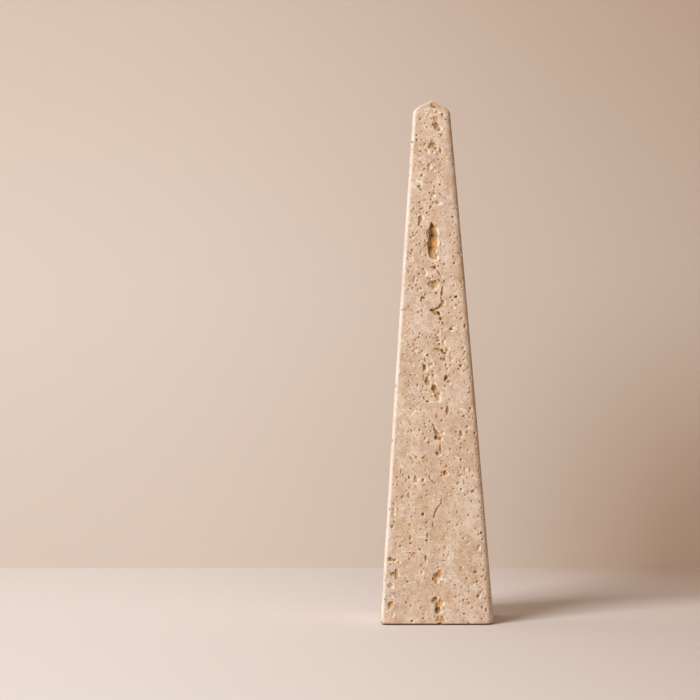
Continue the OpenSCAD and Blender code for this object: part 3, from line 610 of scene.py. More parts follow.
def slice_block(block, point, across):
    """Cut a row or a column of new edges round the block where a plane meets it."""
    bmesh.ops.bisect_plane(block, geom=block.verts[:] + block.edges[:] + block.faces[:],
                           dist=MM / 1000, plane_co=point, plane_no=across.normalized())


def widen(vert, middle, factor):
    """Move a point away from the line up the block's middle, by a factor."""
    vert.co = (middle + (vert.co.x - middle) * factor, vert.co.y * factor, vert.co.z)


def raise_point(block, sizes):
    """Raise the low point from the shaft's flat top, with flanks that swell a little."""
    shaft = HEIGHT - sizes.point_height
    top = [face for face in block.faces if face.normal.z > 0.9]
    tip = bmesh.ops.poke(block, faces=top)["verts"][0]
    tip.co.x = sizes.drift + sizes.point_shift
    # The tip is rounded off later, so it starts a little too high
    tip.co.z = HEIGHT + sizes.tip_radius / 8
    for share in POINT_ROWS:
        slice_block(block, Vector((0, 0, shaft + sizes.point_height * share)), UPWARDS)
    for vert in block.verts:
        share = (vert.co.z - shaft) / sizes.point_height
        if 0 < share < 1:
            # The flanks swell most halfway up
            swell = 1 + 8 * sizes.point_bulge * share / sizes.top_width
            widen(vert, sizes.drift + sizes.point_shift * share, swell)
    block.normal_update()


def dressed_block(sizes):
    """Return the block with its rounded edges and low point, before any void shows in it."""
    shaft = HEIGHT - sizes.point_height
    block = bmesh.new()
    bmesh.ops.create_cube(block, size=2)
    top, foot = (sizes.top_width, sizes.drift, shaft), (FOOT_WIDTH, 0, 0)
    for corner in block.verts:
        width, middle, height = top if corner.co.z > 0 else foot
        corner.co = (corner.co.x * width / 2 + middle, corner.co.y * width / 2, height)
    block.normal_update()
    for on_right, radius in ((False, sizes.edge_radius), (True, sizes.right_edge_radius)):
        long_edges = [edge for edge in block.edges if (edge.verts[0].co.x > 0) == on_right
                      and abs(edge.verts[0].co.z - edge.verts[1].co.z) > shaft / 2]
        round_off(block, long_edges, radius, 8)
    raise_point(block, sizes)
    round_off(block, level_edges(block, shaft), sizes.shoulder_radius, 5)
    round_off(block, level_edges(block, 0), sizes.foot_radius, 4)
    tip = max(block.verts, key=lambda vert: vert.co.z)
    round_off(block, [tip], sizes.tip_radius * 0.9, 3, "VERTICES")
    for height in FOOT_ROWS + tuple(shaft * row / SHAFT_ROWS for row in range(1, SHAFT_ROWS)):
        slice_block(block, Vector((0, 0, height)), UPWARDS)
    for share in SIDE_COLUMNS:
        for side in (FRONT, RIGHT):
            low, _, across, _ = face_frame(sizes, side)
            foot_point = across * share * FOOT_WIDTH / 2
            top_point = Vector((sizes.drift, 0, shaft)) + across * share * sizes.top_width / 2
            slice_block(block, foot_point, (top_point - foot_point).cross(low))
    wear_foot(block, sizes)
    swell_sides(block, sizes)
    dent_faces(block, sizes)
    meet_height(block)
    return block


def wear_foot(block, sizes):
    """Rub the corners back towards the foot, and the left and right sides at the foot itself."""
    for vert in block.verts:
        aside = vert.co.x - sizes.drift * vert.co.z / HEIGHT
        near = max(0, 1 - abs(abs(aside) - abs(vert.co.y)) / CORNER_REACH)
        low = max(0, 1 - vert.co.z / CORNER_HEIGHT)
        # The right edges are the more worn
        back = sizes.foot_wear * near * low ** 2 * (1.5 if aside > 0 else 0.6)
        vert.co.y -= math.copysign(back, vert.co.y)
        lowest = max(0, 1 - vert.co.z / SKIRT_HEIGHT)
        inward = 0.3 * back if aside > 0 else 0
        vert.co.x -= inward + sizes.foot_wear * lowest ** 2 * aside / (FOOT_WIDTH / 2)


def swell_sides(block, sizes):
    """Let the sides swell a little beyond a straight taper."""
    shaft = HEIGHT - sizes.point_height
    for vert in block.verts:
        if 0 < vert.co.z < shaft:
            # The power puts the greatest swelling two thirds of the way up
            run = math.sin(math.pi * (vert.co.z / shaft) ** 1.6)
            factor = 1 + 2 * sizes.swell * run / sizes.top_width / SWELL_RATIO
            widen(vert, sizes.drift * vert.co.z / shaft, factor)
    block.normal_update()


def dent_faces(block, sizes):
    """Sink the faces a little here and there, as rubbing by hand leaves them."""
    for vert in block.verts:
        if vert.co.z > MM / 2:
            dip = 0.5 + 0.5 * noise.noise(vert.co * 34) + 0.25 * noise.noise(vert.co * 90)
            vert.co -= vert.normal * sizes.waviness * min(max(dip, 0), 1)


def meet_height(block):
    """Stretch the tip a little, so that the block ends at its full height."""
    tip = max(vert.co.z for vert in block.verts)
    for vert in block.verts:
        if vert.co.z > tip - TIP_REACH:
            vert.co.z += (HEIGHT - tip) * (vert.co.z - tip + TIP_REACH) / TIP_REACH


def true_height(seen):
    """Return a share of the height from the percentage at which the camera sees it on the front."""
    level, distance = CAMERA_PLACE.z, -CAMERA_PLACE.y
    foot_slope = -level / (distance - FOOT_WIDTH / 2)
    tip_slope = (HEIGHT - level) / distance
    slope = foot_slope + (tip_slope - foot_slope) * (seen - FOOT_SEEN) / (100 - FOOT_SEEN)
    # The front stands back from its foot to its top, and the point's flank stands back much faster
    front = (0, SHAFT_HEIGHT, FOOT_WIDTH / 2, TOP_WIDTH / 2)
    flank = (SHAFT_HEIGHT, HEIGHT, TOP_WIDTH / 2, 0)
    for start, end, ahead, end_ahead in (front, flank):
        set_back = (ahead - end_ahead) / (end - start)
        height = (level + slope * (distance - ahead - set_back * start)) / (1 - slope * set_back)
        if height <= end:
            break
    return height / HEIGHT


def front_voids(sizes):
    """Return the voids of the front, each (side, up, across, width, length, depth, lean, kind)."""
    voids = []
    for part in (FRONT_FOOT, FRONT_LOW, FRONT_MIDDLE, FRONT_UPPER, FRONT_LARGEST, FRONT_TOP):
        for kind, places in part.items():
            for seen, share, width, length, *given in places:
                lean = given[0] if given else 0
                depth = given[1] if len(given) > 1 else width * VOID_KINDS[kind].depth
                voids.append((FRONT, true_height(seen), share / 100, width * MM + sizes.opening,
                              length * MM + sizes.opening, depth * MM, lean, kind))
    return voids


def lips(sizes, voids):
    """Return the shallow lip worn beside each void, which is widest at its lower right."""
    beside = []
    for side, up, share, width, length, depth, lean, kind in voids:
        least = sizes.least_lipped if side == FRONT else 2 * sizes.least_lipped
        if kind in SHARP_KINDS or width < least:
            continue
        lip = min(sizes.lip, 0.3 * MM + 0.28 * width)
        lower, rightward = 0.15 * lip / HEIGHT, 0.38 * lip / half_width(up)
        shallow = 0.13 * (width + lip) + 0.2 * MM
        beside.append((side, up - lower, share + rightward, width + lip, length + lip, shallow, lean,
                       "lip"))
    return beside


def clustered_voids(chance, side, places):
    """Return the larger voids of a side, each made of lobes that run into one another."""
    voids = []
    for up, across, *shares, lean in places:
        width, length, depth = (part * share for part, share in zip(LARGEST, shares))
        voids.append((side, up, across, width * 0.8, length * 0.86, depth, lean, "deep"))
        for lobe in range(4):
            along = (lobe - 1.5) / 3 * length * 0.8
            aside = chance.uniform(-0.34, 0.34) * width
            lobe_up = up + along * math.cos(math.radians(lean)) / HEIGHT
            lobe_across = across + (aside + along * math.sin(math.radians(lean))) / half_width(lobe_up)
            kind = chance.choice(LOBE_KINDS)
            voids.append((side, lobe_up, lobe_across, width * chance.uniform(0.4, 0.75),
                          length * chance.uniform(0.22, 0.42), depth * chance.uniform(0.45, 0.9),
                          chance.uniform(-30, 30), kind))
    return voids


def scattered_voids(chance, side, count):
    """Return small voids strewn over a side, thicker along the upright bands of the stone."""
    voids = []
    while len(voids) < count:
        up = chance.uniform(0.008, 0.965)
        # A tapering side has less room towards its top
        if chance.random() > 1 - 0.6 * up:
            continue
        share = chance.uniform(-0.96, 0.96)
        band = noise.noise(Vector((share * 1.6 + 7 * side, up * 3, 2.5 * side)))
        if chance.random() > 0.62 + 0.75 * band:
            continue
        width = min(0.75 + chance.expovariate(2.6), 2.4) * MM
        kind = chance.choices(list(SCATTERED_KINDS), SCATTERED_KINDS.values())[0]
        stretch = chance.uniform(2.2, 4) if kind == "crack" else chance.choice((1, 1.2, 1.4, 1.8, 2.6))
        lean = chance.gauss(0, 32)
        width = min(width, 1.3 * MM) if kind == "crack" else width
        voids.append((side, up, share, width, width * stretch, width * VOID_KINDS[kind].depth, lean, kind))
    return voids


def all_voids(sizes):
    """Return every void, with the larger ones first."""
    voids = front_voids(sizes)
    for side, places in OTHER_SIDES.items():
        chance = random.Random(100 * sizes.seed + side)
        voids += clustered_voids(chance, side, places)
        voids += scattered_voids(chance, side, sizes.scattered)
    voids += lips(sizes, voids)
    voids.sort(key=lambda void: (-void[3] * void[4], void[1]))
    return voids


def template_balls():
    """Return plain balls, from coarse to fine, that each void's cutter starts from."""
    balls = []
    for fineness in range(len(BALL_SIZES)):
        ball = bmesh.new()
        bmesh.ops.create_icosphere(ball, subdivisions=fineness + 1, radius=1)
        balls.append(ball)
    return balls


def void_cutter(block_tree, block_sizes, sizes, balls, void):
    """Return the middle, reach and cutter of one void, set on the block's own surface."""
    side, up, share, width, length, depth, lean, kind = void
    point, out = on_face(block_sizes, side, up, share)
    level_out = Vector((out.x, out.y, 0)).normalized()
    start = point + level_out * SEARCH_START
    place, normal, _, _ = block_tree.ray_cast(start, -level_out, 2 * SEARCH_START)
    if place is None:
        place, normal, _, _ = block_tree.find_nearest(point)
    across = UPWARDS.cross(normal).normalized()
    lift = normal.cross(across)
    turn = math.radians(lean)
    breadth = across * math.cos(turn) - lift * math.sin(turn)
    run = across * math.sin(turn) + lift * math.cos(turn)
    fineness = sum(width > limit for limit in FINER_BALLS)
    if kind == "lip":
        fineness = max(fineness - 1, 0)
    ball = balls[fineness].copy()
    made = VOID_KINDS[kind]
    reach_out = BALL_SIZES[fineness] / math.sqrt(1 - made.lift ** 2) / (1 - made.narrowing * made.lift) / 2
    depth_radius = depth / (1 - made.lift)
    mouth = place + normal * depth_radius * made.lift
    # Each void wanders in a way of its own, which follows from its place
    wander = Vector((up * 977, share * 131, side * 57))
    for vert in ball.verts:
        spot = vert.co
        lumps = noise.noise(spot * 1.3 + wander) + 0.6 * noise.noise(spot * 3.3 + wander)
        reach = 1 + sizes.ragged * lumps
        sideways = reach * reach_out * (1 + made.narrowing * min(spot.z, 0.5))
        vert.co = (mouth + breadth * spot.x * sideways * width
                   + run * spot.y * sideways * length + normal * spot.z * reach * depth_radius)
    return mouth, max((vert.co - mouth).length for vert in ball.verts), ball


def between(rows, place):
    """Return the values that lie at a place among rows sorted by their first value."""
    for lower, higher in zip(rows, rows[1:]):
        if place <= higher[0]:
            share = (place - lower[0]) / (higher[0] - lower[0])
            return [low + (high - low) * share for low, high in zip(lower[1:], higher[1:])]
    return rows[-1][1:]


def largest_cutter(block_sizes):
    """Return the cutter of the front's largest void, which follows its own outline from floor to head."""
    hollow = bmesh.new()
    bmesh.ops.create_icosphere(hollow, subdivisions=5, radius=1)
    golden, darkness, _ = [hollow.verts.layers.float.new(name) for name in LINING_MARKS]
    bottom, top = LARGEST_OUTLINE[0][0], LARGEST_OUTLINE[-1][0]
    for vert in hollow.verts:
        spot = vert.co.copy()
        turned = math.hypot(spot.x, spot.z)
        seen = bottom + (top - bottom) * (0.5 + math.asin(min(max(spot.y, -1), 1)) / math.pi)
        left, right, depth = between(LARGEST_OUTLINE, seen)
        sideways, outwards = (spot.x / turned, spot.z / turned) if turned > 0.001 else (0, -0.2)
        lumps = noise.noise(spot * 4.2) + 0.7 * noise.noise(spot * 9)
        reach = 1 + 0.22 * lumps * min(1, max(0, -outwards) * 2 + 0.25)
        # The walls lean in a little towards the floor
        lean = 1 + 0.18 * outwards
        middle, half = (left + right) / 2, (right - left) / 2
        across_mm = middle + half * sideways * reach * lean
        point, out = on_face(block_sizes, FRONT, true_height(seen), 0)
        vert.co = point + Vector((across_mm * MM, 0, 0)) + out * depth * outwards * reach * MM
        for mark, least, patches in ((golden, 0.2, LARGEST_CRYSTAL), (darkness, 0.25, LARGEST_HOLLOWS)):
            vert[mark] = least + max(
                strength * patch_share(seen - place, across_mm - aside, radius)
                for place, aside, radius, strength in patches)
    return hollow


def patch_share(percent_up, across_mm, radius):
    """Return 1 well inside a round patch and 0 outside it, with a soft edge between."""
    away = math.hypot(percent_up * MM_PER_PERCENT, across_mm)
    return min(max(3 - 3 * away / radius, 0), 1)


def cutter_groups(block_tree, block_sizes, sizes):
    """Return meshes of cutters, in each of which no cutter meets another."""
    balls = template_balls()
    groups = []
    for void in all_voids(sizes):
        middle, reach, ball = void_cutter(block_tree, block_sizes, sizes, balls, void)
        for group in groups:
            if all(abs(middle.z - other.z) > reach + far or (middle - other).length > reach + far
                   for other, far in group["taken"]):
                break
        else:
            group = {"taken": [], "cutters": bmesh.new()}
            for name in LINING_MARKS:
                group["cutters"].verts.layers.float.new(name)
            groups.append(group)
        group["taken"].append((middle, reach))
        append_cutter(group["cutters"], ball, VOID_KINDS[void[-1]])
    for ball in balls:
        ball.free()
    return [largest_cutter(block_sizes)] + [group["cutters"] for group in groups]


def append_cutter(cutters, ball, made):
    """Add one void's cutter to a group, with the marks of its lining."""
    for name in LINING_MARKS:
        layer = ball.verts.layers.float.new(name)
        for vert in ball.verts:
            vert[layer] = getattr(made, name)
    passing = bpy.data.meshes.new("passing")
    ball.to_mesh(passing)
    ball.free()
    cutters.from_mesh(passing)
    bpy.data.meshes.remove(passing)


def mesh_object(name, shape, materials):
    """Put a finished bmesh into the scene as an object and free it."""
    mesh = bpy.data.meshes.new(name)
    shape.to_mesh(mesh)
    shape.free()
    for material in materials:
        mesh.materials.append(material)
    piece = bpy.data.objects.new(name, mesh)
    bpy.context.scene.collection.objects.link(piece)
    return piece


def cut_out(stone, groups, materials):
    """Take each group of cutters out of the block in turn, so their walls become the voids' lining."""
    for number, cutters in enumerate(groups):
        for face in cutters.faces:
            face.material_index = 1
        cutter = mesh_object(f"cutter_{number}", cutters, materials)
        cut = stone.modifiers.new("voids", "BOOLEAN")
        cut.operation = "DIFFERENCE"
        cut.solver = "MANIFOLD"
        cut.object = cutter
        bpy.context.view_layer.update()
        carved = bpy.data.meshes.new_from_object(stone.evaluated_get(bpy.context.evaluated_depsgraph_get()))
        stone.modifiers.remove(cut)
        worked = stone.data
        stone.data = carved
        bpy.data.meshes.remove(worked)
        bpy.data.meshes.remove(cutter.data)


def finish_surface(stone, block_tree):
    """Keep the voids' rims crisp, and note on the mesh how deep in a void each part of it looks."""
    carved = bmesh.new()
    carved.from_mesh(stone.data)
    for face in carved.faces:
        face.smooth = True
    for edge in carved.edges:
        if len(edge.link_faces) == 2:
            first, second = edge.link_faces
            rim = first.material_index != second.material_index
            edge.smooth = not rim and edge.calc_face_angle(0) < math.radians(50)
    depth = carved.verts.layers.float.new("void_depth")
    clean = carved.verts.layers.float.get("clean")
    for vert in carved.verts:
        if any(face.material_index for face in vert.link_faces):
            _, _, _, distance = block_tree.find_nearest(vert.co)
            vert[depth] = distance / MM * (1 - vert[clean]) - 0.3 * vert[clean]
    carved.to_mesh(stone.data)
    carved.free()


def add_node(tree, kind, column, row, **settings):
    """Add a node to a tree at a place on its grid, with its own settings."""
    added = tree.nodes.new(kind)
    added.location = (column * 220, row * -220)
    for name, value in settings.items():
        setattr(added, name, value)
    return added


def feed(tree, value, socket):
    """Link a socket to the one that its value comes from, or give it a plain number or colour."""
    if isinstance(value, bpy.types.NodeSocket):
        tree.links.new(value, socket)
    else:
        socket.default_value = (*value, 1) if socket.type == "RGBA" else value


def noise_node(tree, column, row, coordinates, scale, detail=4, roughness=0.55, distortion=0):
    """Add a noise that reads some coordinates, and return its value."""
    added = add_node(tree, "ShaderNodeTexNoise", column, row)
    for name, value in (("Vector", coordinates), ("Scale", scale), ("Detail", detail),
                        ("Roughness", roughness), ("Distortion", distortion)):
        feed(tree, value, added.inputs[name])
    return added.outputs["Fac"]


def spread_node(tree, column, row, value, low, high, to_low=0, to_high=1):
    """Add a smooth step that turns a value between two limits into a mask, and return it."""
    added = add_node(tree, "ShaderNodeMapRange", column, row, interpolation_type="SMOOTHSTEP", clamp=True)
    for name, given in (("Value", value), ("From Min", low), ("From Max", high), ("To Min", to_low),
                        ("To Max", to_high)):
        feed(tree, given, added.inputs[name])
    return added.outputs["Result"]


def patches_node(tree, column, row, coordinates, noise_settings, *limits):
    """Add a noise and turn it into a mask of soft patches, and return the mask."""
    value = noise_node(tree, column, row, coordinates, *noise_settings)
    return spread_node(tree, column + 1, row, value, *limits)


def math_node(tree, column, row, operation, *values):
    """Add a sum, a product or the like of some values, each a socket or a number, and return it."""
    added = add_node(tree, "ShaderNodeMath", column, row, operation=operation)
    for socket, value in zip(added.inputs, values):
        feed(tree, value, socket)
    return added.outputs[0]


def axes_node(tree, column, row, vector):
    """Split a place or a direction into its three parts, and return them."""
    added = add_node(tree, "ShaderNodeSeparateXYZ", column, row)
    tree.links.new(vector, added.inputs[0])
    return added.outputs


def tint_node(tree, column, row, mask, under, over, blend="MIX"):
    """Lay one colour over another where a mask says, and return the result."""
    added = add_node(tree, "ShaderNodeMix", column, row, data_type="RGBA", blend_type=blend)
    colour_sockets = [socket for socket in added.inputs if socket.type == "RGBA"]
    for socket, value in zip([added.inputs[0]] + colour_sockets, (mask, under, over)):
        feed(tree, value, socket)
    return next(socket for socket in added.outputs if socket.type == "RGBA")


def lay_tints(tree, column, tone, layers):
    """Lay colours over a tone one after another, each where its mask says, and return the result."""
    for step, (mask, colour) in enumerate(layers):
        tone = tint_node(tree, column + step, 0, mask, tone, colour)
    return tone


def new_group(name, inputs, outputs):
    """Start a shader node group, and return it with what it is given and what it puts out."""
    group = bpy.data.node_groups.new(name, "ShaderNodeTree")
    for label, value in inputs.items():
        kind = "NodeSocketVector" if value is None else "NodeSocketFloat"
        socket = group.interface.new_socket(label, in_out="INPUT", socket_type=kind)
        if value is not None:
            socket.default_value = value
    for label in outputs:
        group.interface.new_socket(label, in_out="OUTPUT", socket_type="NodeSocketFloat")
    start = add_node(group, "NodeGroupInput", 0, 0)
    return group, start.outputs, add_node(group, "NodeGroupOutput", 7, 0).inputs


def stone_grain_group():
    """Make the fine mottling and tooth that the honed faces and the voids' linings share."""
    group, given, result = new_group(
        "stone_grain", {"Coordinates": None, "Grains Per Metre": 700.0}, ("Shade", "Height"))
    grains = []
    for row, (times, detail) in enumerate(((0.35, 3), (1, 4), (3.1, 2))):
        scale = math_node(group, 2, row, "MULTIPLY", given["Grains Per Metre"], times)
        grains.append(noise_node(group, 3, row, given["Coordinates"], scale, detail, 0.6))
    coarse = math_node(group, 4, 0, "MULTIPLY", grains[0], 0.45)
    middling = math_node(group, 4, 1, "MULTIPLY_ADD", grains[1], 0.35, coarse)
    fine = math_node(group, 5, 1, "MULTIPLY_ADD", grains[2], 0.2, middling)
    group.links.new(spread_node(group, 6, 0, fine, 0.36, 0.64), result["Shade"])
    group.links.new(fine, result["Height"])
    return group


def small_pores_group():
    """Make clusters of pin-size pores, or of tiny crystals, spread over the stone."""
    group, given, result = new_group(
        "small_pores",
        {"Coordinates": None, "Pores Per Metre": 600.0, "Radius Share": 0.3, "Clusters Per Metre": 60.0,
         "Cluster Edge": 0.5},
        ("Mask",))
    cells = add_node(group, "ShaderNodeTexVoronoi", 2, 0, feature="F1", distance="EUCLIDEAN")
    group.links.new(given["Coordinates"], cells.inputs["Vector"])
    group.links.new(given["Pores Per Metre"], cells.inputs["Scale"])
    dot = spread_node(group, 4, 0, cells.outputs["Distance"], 0, given["Radius Share"], 1, 0)
    crowd = noise_node(group, 2, 1, given["Coordinates"], given["Clusters Per Metre"], 3)
    # Each cell also has a number of its own, so that pores differ in strength and many cells have none
    lot = add_node(group, "ShaderNodeSeparateColor", 3, 2)
    group.links.new(cells.outputs["Color"], lot.inputs[0])
    crowd = math_node(group, 3, 1, "MULTIPLY_ADD", lot.outputs[0], 0.5, crowd)
    low, high = (math_node(group, 4, row, "ADD", given["Cluster Edge"], beyond)
                 for row, beyond in ((1, 0.15), (2, 0.3)))
    step = spread_node(group, 5, 1, crowd, low, high)
    group.links.new(math_node(group, 6, 0, "MULTIPLY", dot, step), result["Mask"])
    return group


def contact_shade_group():
    """Make the painted shade line along the foot, where it meets the table, which stops at the rim of the
    underside.
    """
    group, given, result = new_group("foot_contact_shade", {"Coordinates": None, "Facing": None}, ("Mask",))
    height = axes_node(group, 1, 0, given["Coordinates"])[2]
    downwards = axes_node(group, 1, 1, given["Facing"])[2]
    low = spread_node(group, 2, 0, height, 0.9 * MM, 1.5 * MM, 1, 0)
    outside = spread_node(group, 2, 1, downwards, -0.99, -0.95)
    group.links.new(math_node(group, 3, 0, "MULTIPLY", low, outside), result["Mask"])
    return group


def use_group(tree, column, row, group, coordinates, **values):
    """Place a node group in a tree with its own values, and return its outputs."""
    added = add_node(tree, "ShaderNodeGroup", column, row, node_tree=group)
    tree.links.new(coordinates, added.inputs["Coordinates"])
    for name, value in values.items():
        feed(tree, value, added.inputs[name.replace("_", " ").title()])
    return added.outputs


def new_material(name):
    """Start a material, and return it with its tree, its shader and the piece's own coordinates."""
    material = bpy.data.materials.new(name)
    material.use_nodes = True
    tree = material.node_tree
    shader = tree.nodes["Principled BSDF"]
    shader.location = (3000, 0)
    tree.nodes["Material Output"].location = (3300, 0)
    return material, tree, shader, add_node(tree, "ShaderNodeTexCoord", -2, 0).outputs


def add_bump(tree, column, row, shader, height, distance):
    """Give a shader relief of a real depth from a height between 0 and 1."""
    bump = add_node(tree, "ShaderNodeBump", column, row)
    bump.inputs["Distance"].default_value = distance
    tree.links.new(height, bump.inputs["Height"])
    tree.links.new(bump.outputs["Normal"], shader.inputs["Normal"])


def upright_pattern(tree, column, row, coordinates):
    """Stretch a pattern upwards along the stone's leaning bands, and return its coordinates."""
    added = add_node(tree, "ShaderNodeMapping", column, row)
    tree.links.new(coordinates, added.inputs["Vector"])
    added.inputs["Scale"].default_value = (1, 1, 0.4)
    added.inputs["Rotation"].default_value = (0, math.radians(-6), 0)
    return added.outputs["Vector"]


def lit_edge_mask(tree, row, place, facing, patches):
    """Return a mask of the edges and hips on the lit left side, where a pale colour is painted as a
    highlight.
    """
    place = axes_node(tree, 0, row, place)
    # How far a point lies from the diagonals on which the four edges stand, and which drift with height
    middle = math_node(tree, 1, row, "MULTIPLY", place[2], DRIFT / HEIGHT)
    aside = math_node(tree, 3, row, "ABSOLUTE", math_node(tree, 2, row, "SUBTRACT", place[0], middle))
    ahead = math_node(tree, 3, row + 1, "ABSOLUTE", place[1])
    off_corner = math_node(tree, 5, row, "ABSOLUTE", math_node(tree, 4, row, "SUBTRACT", aside, ahead))
    corner = spread_node(tree, 6, row, off_corner, 0.6 * MM, 3.2 * MM, 1, 0)
    leftward = spread_node(tree, 1, row + 2, axes_node(tree, 0, row + 2, facing)[0], -0.1, 0.3, 1, 0)
    edge_highlight = math_node(tree, 7, row, "MULTIPLY", corner, leftward)
    return math_node(tree, 8, row, "MULTIPLY", edge_highlight, patches)


def honed_travertine(colours, grain, pores, contact_shade_tree):
    """Make the stone's outer faces: peach and cream clouds, rusty veins and pin pores, with a painted
    highlight along the lit left edges and a painted shade line where the foot meets the table.
    """
    material, tree, shader, coordinates = new_material("honed_travertine")
    place, facing = coordinates["Object"], coordinates["Normal"]
    upright = upright_pattern(tree, -1, 0, place)
    cloud = patches_node(tree, 0, 0, upright, (60, 6, 0.62, 0.6), 0.42, 0.62)
    cool = patches_node(tree, 0, 1, place, (38, 5, 0.6), 0.5, 0.68, 0, 0.55)
    rust = patches_node(tree, 0, 2, upright, (88, 7, 0.65, 0.9), 0.54, 0.7, 0, 0.75)
    tone = tint_node(tree, 2, 0, cloud, colours.peach, colours.cream)
    tone = lay_tints(tree, 3, tone, ((cool, colours.grey), (rust, colours.ochre)))
    # The mottling is warm where it is dark and cool where it is light
    mottle = use_group(tree, 3, 2, grain, place, grains_per_metre=560)
    shade = tint_node(tree, 4, 2, mottle["Shade"], (0.79, 0.74, 0.68), (1.09, 1.12, 1.17))
    tone = tint_node(tree, 5, 0, 1.0, tone, shade, "MULTIPLY")
    flecks = use_group(tree, 5, 3, pores, place, pores_per_metre=820, radius_share=0.3,
                       clusters_per_metre=70, cluster_edge=0.42)
    fleck = math_node(tree, 6, 3, "MULTIPLY", flecks["Mask"], 0.9)
    # Thin curling seams of white calcite, here and there
    curl = noise_node(tree, 4, 8, place, 150, 2, 0.5, 1.2)
    off_seam = math_node(tree, 5, 8, "ABSOLUTE", math_node(tree, 5, 7, "SUBTRACT", curl, 0.5))
    seam = math_node(tree, 7, 8, "MULTIPLY", spread_node(tree, 6, 8, off_seam, 0.012, 0.05, 1, 0),
                     patches_node(tree, 5, 9, place, (90, 3), 0.53, 0.64, 0, 0.75))
    pits = use_group(tree, 5, 5, pores, place, pores_per_metre=560, radius_share=0.34,
                     clusters_per_metre=44, cluster_edge=0.48)
    pit = math_node(tree, 6, 5, "MULTIPLY", pits["Mask"], 0.75)
    uneven = patches_node(tree, 0, 10, upright, (120, 4, 0.6), 0.3, 0.6, 0.6, 1)
    # Painted highlight: a pale colour along the edges and hips on the lit left side
    lit_edges = lit_edge_mask(tree, 11, place, facing, uneven)
    # Painted shade: a dark line along the foot where it meets the table, in place of its contact shadow
    foot_shade = use_group(tree, 9, 2, contact_shade_tree, place, facing=facing)
    tone = lay_tints(tree, 7, tone, (
        (fleck, colours.calcite), (seam, colours.calcite), (pit, colours.lining), (lit_edges, colours.edge_highlight),
        (foot_shade["Mask"], colours.contact_shade)))
    tree.links.new(tone, shader.inputs["Base Color"])
    tree.links.new(spread_node(tree, 7, 2, mottle["Shade"], 0, 1, 0.72, 0.54), shader.inputs["Roughness"])
    relief = math_node(tree, 7, 4, "MULTIPLY", mottle["Height"], 1.1)
    relief = math_node(tree, 8, 4, "SUBTRACT", relief, pits["Mask"])
    relief = math_node(tree, 8, 6, "ADD", relief, math_node(tree, 8, 8, "MULTIPLY", seam, 0.3))
    add_bump(tree, 9, 4, shader, relief, 0.45 * MM)
    return material


def void_lining(colours, grain, pores, contact_shade_tree):
    """Make the inside of the voids: rusty, darker with depth, with glassy golden crystal in some."""
    material, tree, shader, coordinates = new_material("void_lining")
    place, facing = coordinates["Object"], coordinates["Normal"]
    depth, golden, darkness = (
        add_node(tree, "ShaderNodeAttribute", -1, row, attribute_name=name).outputs["Fac"]
        for row, name in enumerate(("void_depth", "golden", "darkness")))
    rough = use_group(tree, 0, 3, grain, place, grains_per_metre=900)
    # The rubbed lips, which have a depth below nought, are chalky; they lie at each void's lower right,
    # where the lamp lights the walls, so their pale colour is partly a painted highlight
    lip = spread_node(tree, 1, -1, depth, -0.3, -0.1, 1, 0)
    powder = spread_node(tree, 1, -2, rough["Shade"], 0, 1, 0.35, 0.85)
    chalk_and_highlight = math_node(tree, 2, -1, "MULTIPLY", lip, powder)
    uneven = spread_node(tree, 0, 4, rough["Shade"], 0, 1, -0.25, 0.35)
    sunk = math_node(tree, 0, 0, "ADD", depth, uneven)
    rim = spread_node(tree, 1, 0, sunk, 0, 0.3)
    first = spread_node(tree, 1, 1, sunk, 0.25, 0.85)
    gloom = spread_node(tree, 0, 2, darkness, 0, 1, 0.35, 1)
    second = math_node(tree, 2, 1, "MULTIPLY", spread_node(tree, 1, 2, sunk, 0.9, 4), gloom)
    # Thin crystal is dull and pale, and thick crystal golden
    thin = math_node(tree, 4, 7, "MULTIPLY", spread_node(tree, 3, 7, golden, 0.1, 0.45, 0, 0.75), first)
    glow = patches_node(tree, 2, 3, place, (300, 4, 0.5, 0.5), 0.25, 0.55)
    glow = math_node(tree, 4, 3, "MULTIPLY", glow, spread_node(tree, 3, 4, golden, 0.45, 1.1))
    glow = math_node(tree, 5, 3, "MULTIPLY", glow, first)
    crystals = use_group(tree, 4, 5, pores, place, pores_per_metre=1500, radius_share=0.4,
                         clusters_per_metre=160, cluster_edge=0.35)
    spark = math_node(tree, 5, 5, "MULTIPLY", crystals["Mask"], 0.2)
    # Painted shade: a dark line along the foot where it meets the table, in place of its contact shadow
    foot_shade = use_group(tree, 6, 8, contact_shade_tree, place, facing=facing)
    tone = tint_node(tree, 2, 0, chalk_and_highlight, colours.cream, colours.calcite)
    tone = lay_tints(tree, 3, tone, (
        (rim, colours.peach), (first, colours.lining), (second, colours.deep), (thin, colours.olive),
        (glow, colours.golden), (spark, colours.cream), (foot_shade["Mask"], colours.contact_shade)))
    tree.links.new(tone, shader.inputs["Base Color"])
    tree.links.new(spread_node(tree, 6, 3, glow, 0, 1, 0.78, 0.42), shader.inputs["Roughness"])
    relief = math_node(tree, 6, 5, "MULTIPLY_ADD", crystals["Mask"], 0.3, rough["Height"])
    add_bump(tree, 8, 4, shader, relief, 0.4 * MM)
    return material


class OBELISK_OT_block(bpy.types.Operator):
    """Dress the travertine block and open the voids that show in its four sides"""

    bl_idname = "obelisk.block"
    bl_label = "Travertine Block"

    def execute(self, context):
        scene = context.scene
        block = dressed_block(scene.obelisk_block)
        block_tree = BVHTree.FromBMesh(block)
        shared = (stone_grain_group(), small_pores_group(), contact_shade_group())
        materials = [finish(scene.obelisk_colours, *shared) for finish in (honed_travertine, void_lining)]
        stone = mesh_object("travertine_obelisk", block, materials)
        cut_out(stone, cutter_groups(block_tree, scene.obelisk_block, scene.obelisk_voids), materials)
        finish_surface(stone, block_tree)
        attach(stone, "root")
        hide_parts("obelisk")
        return {"FINISHED"}


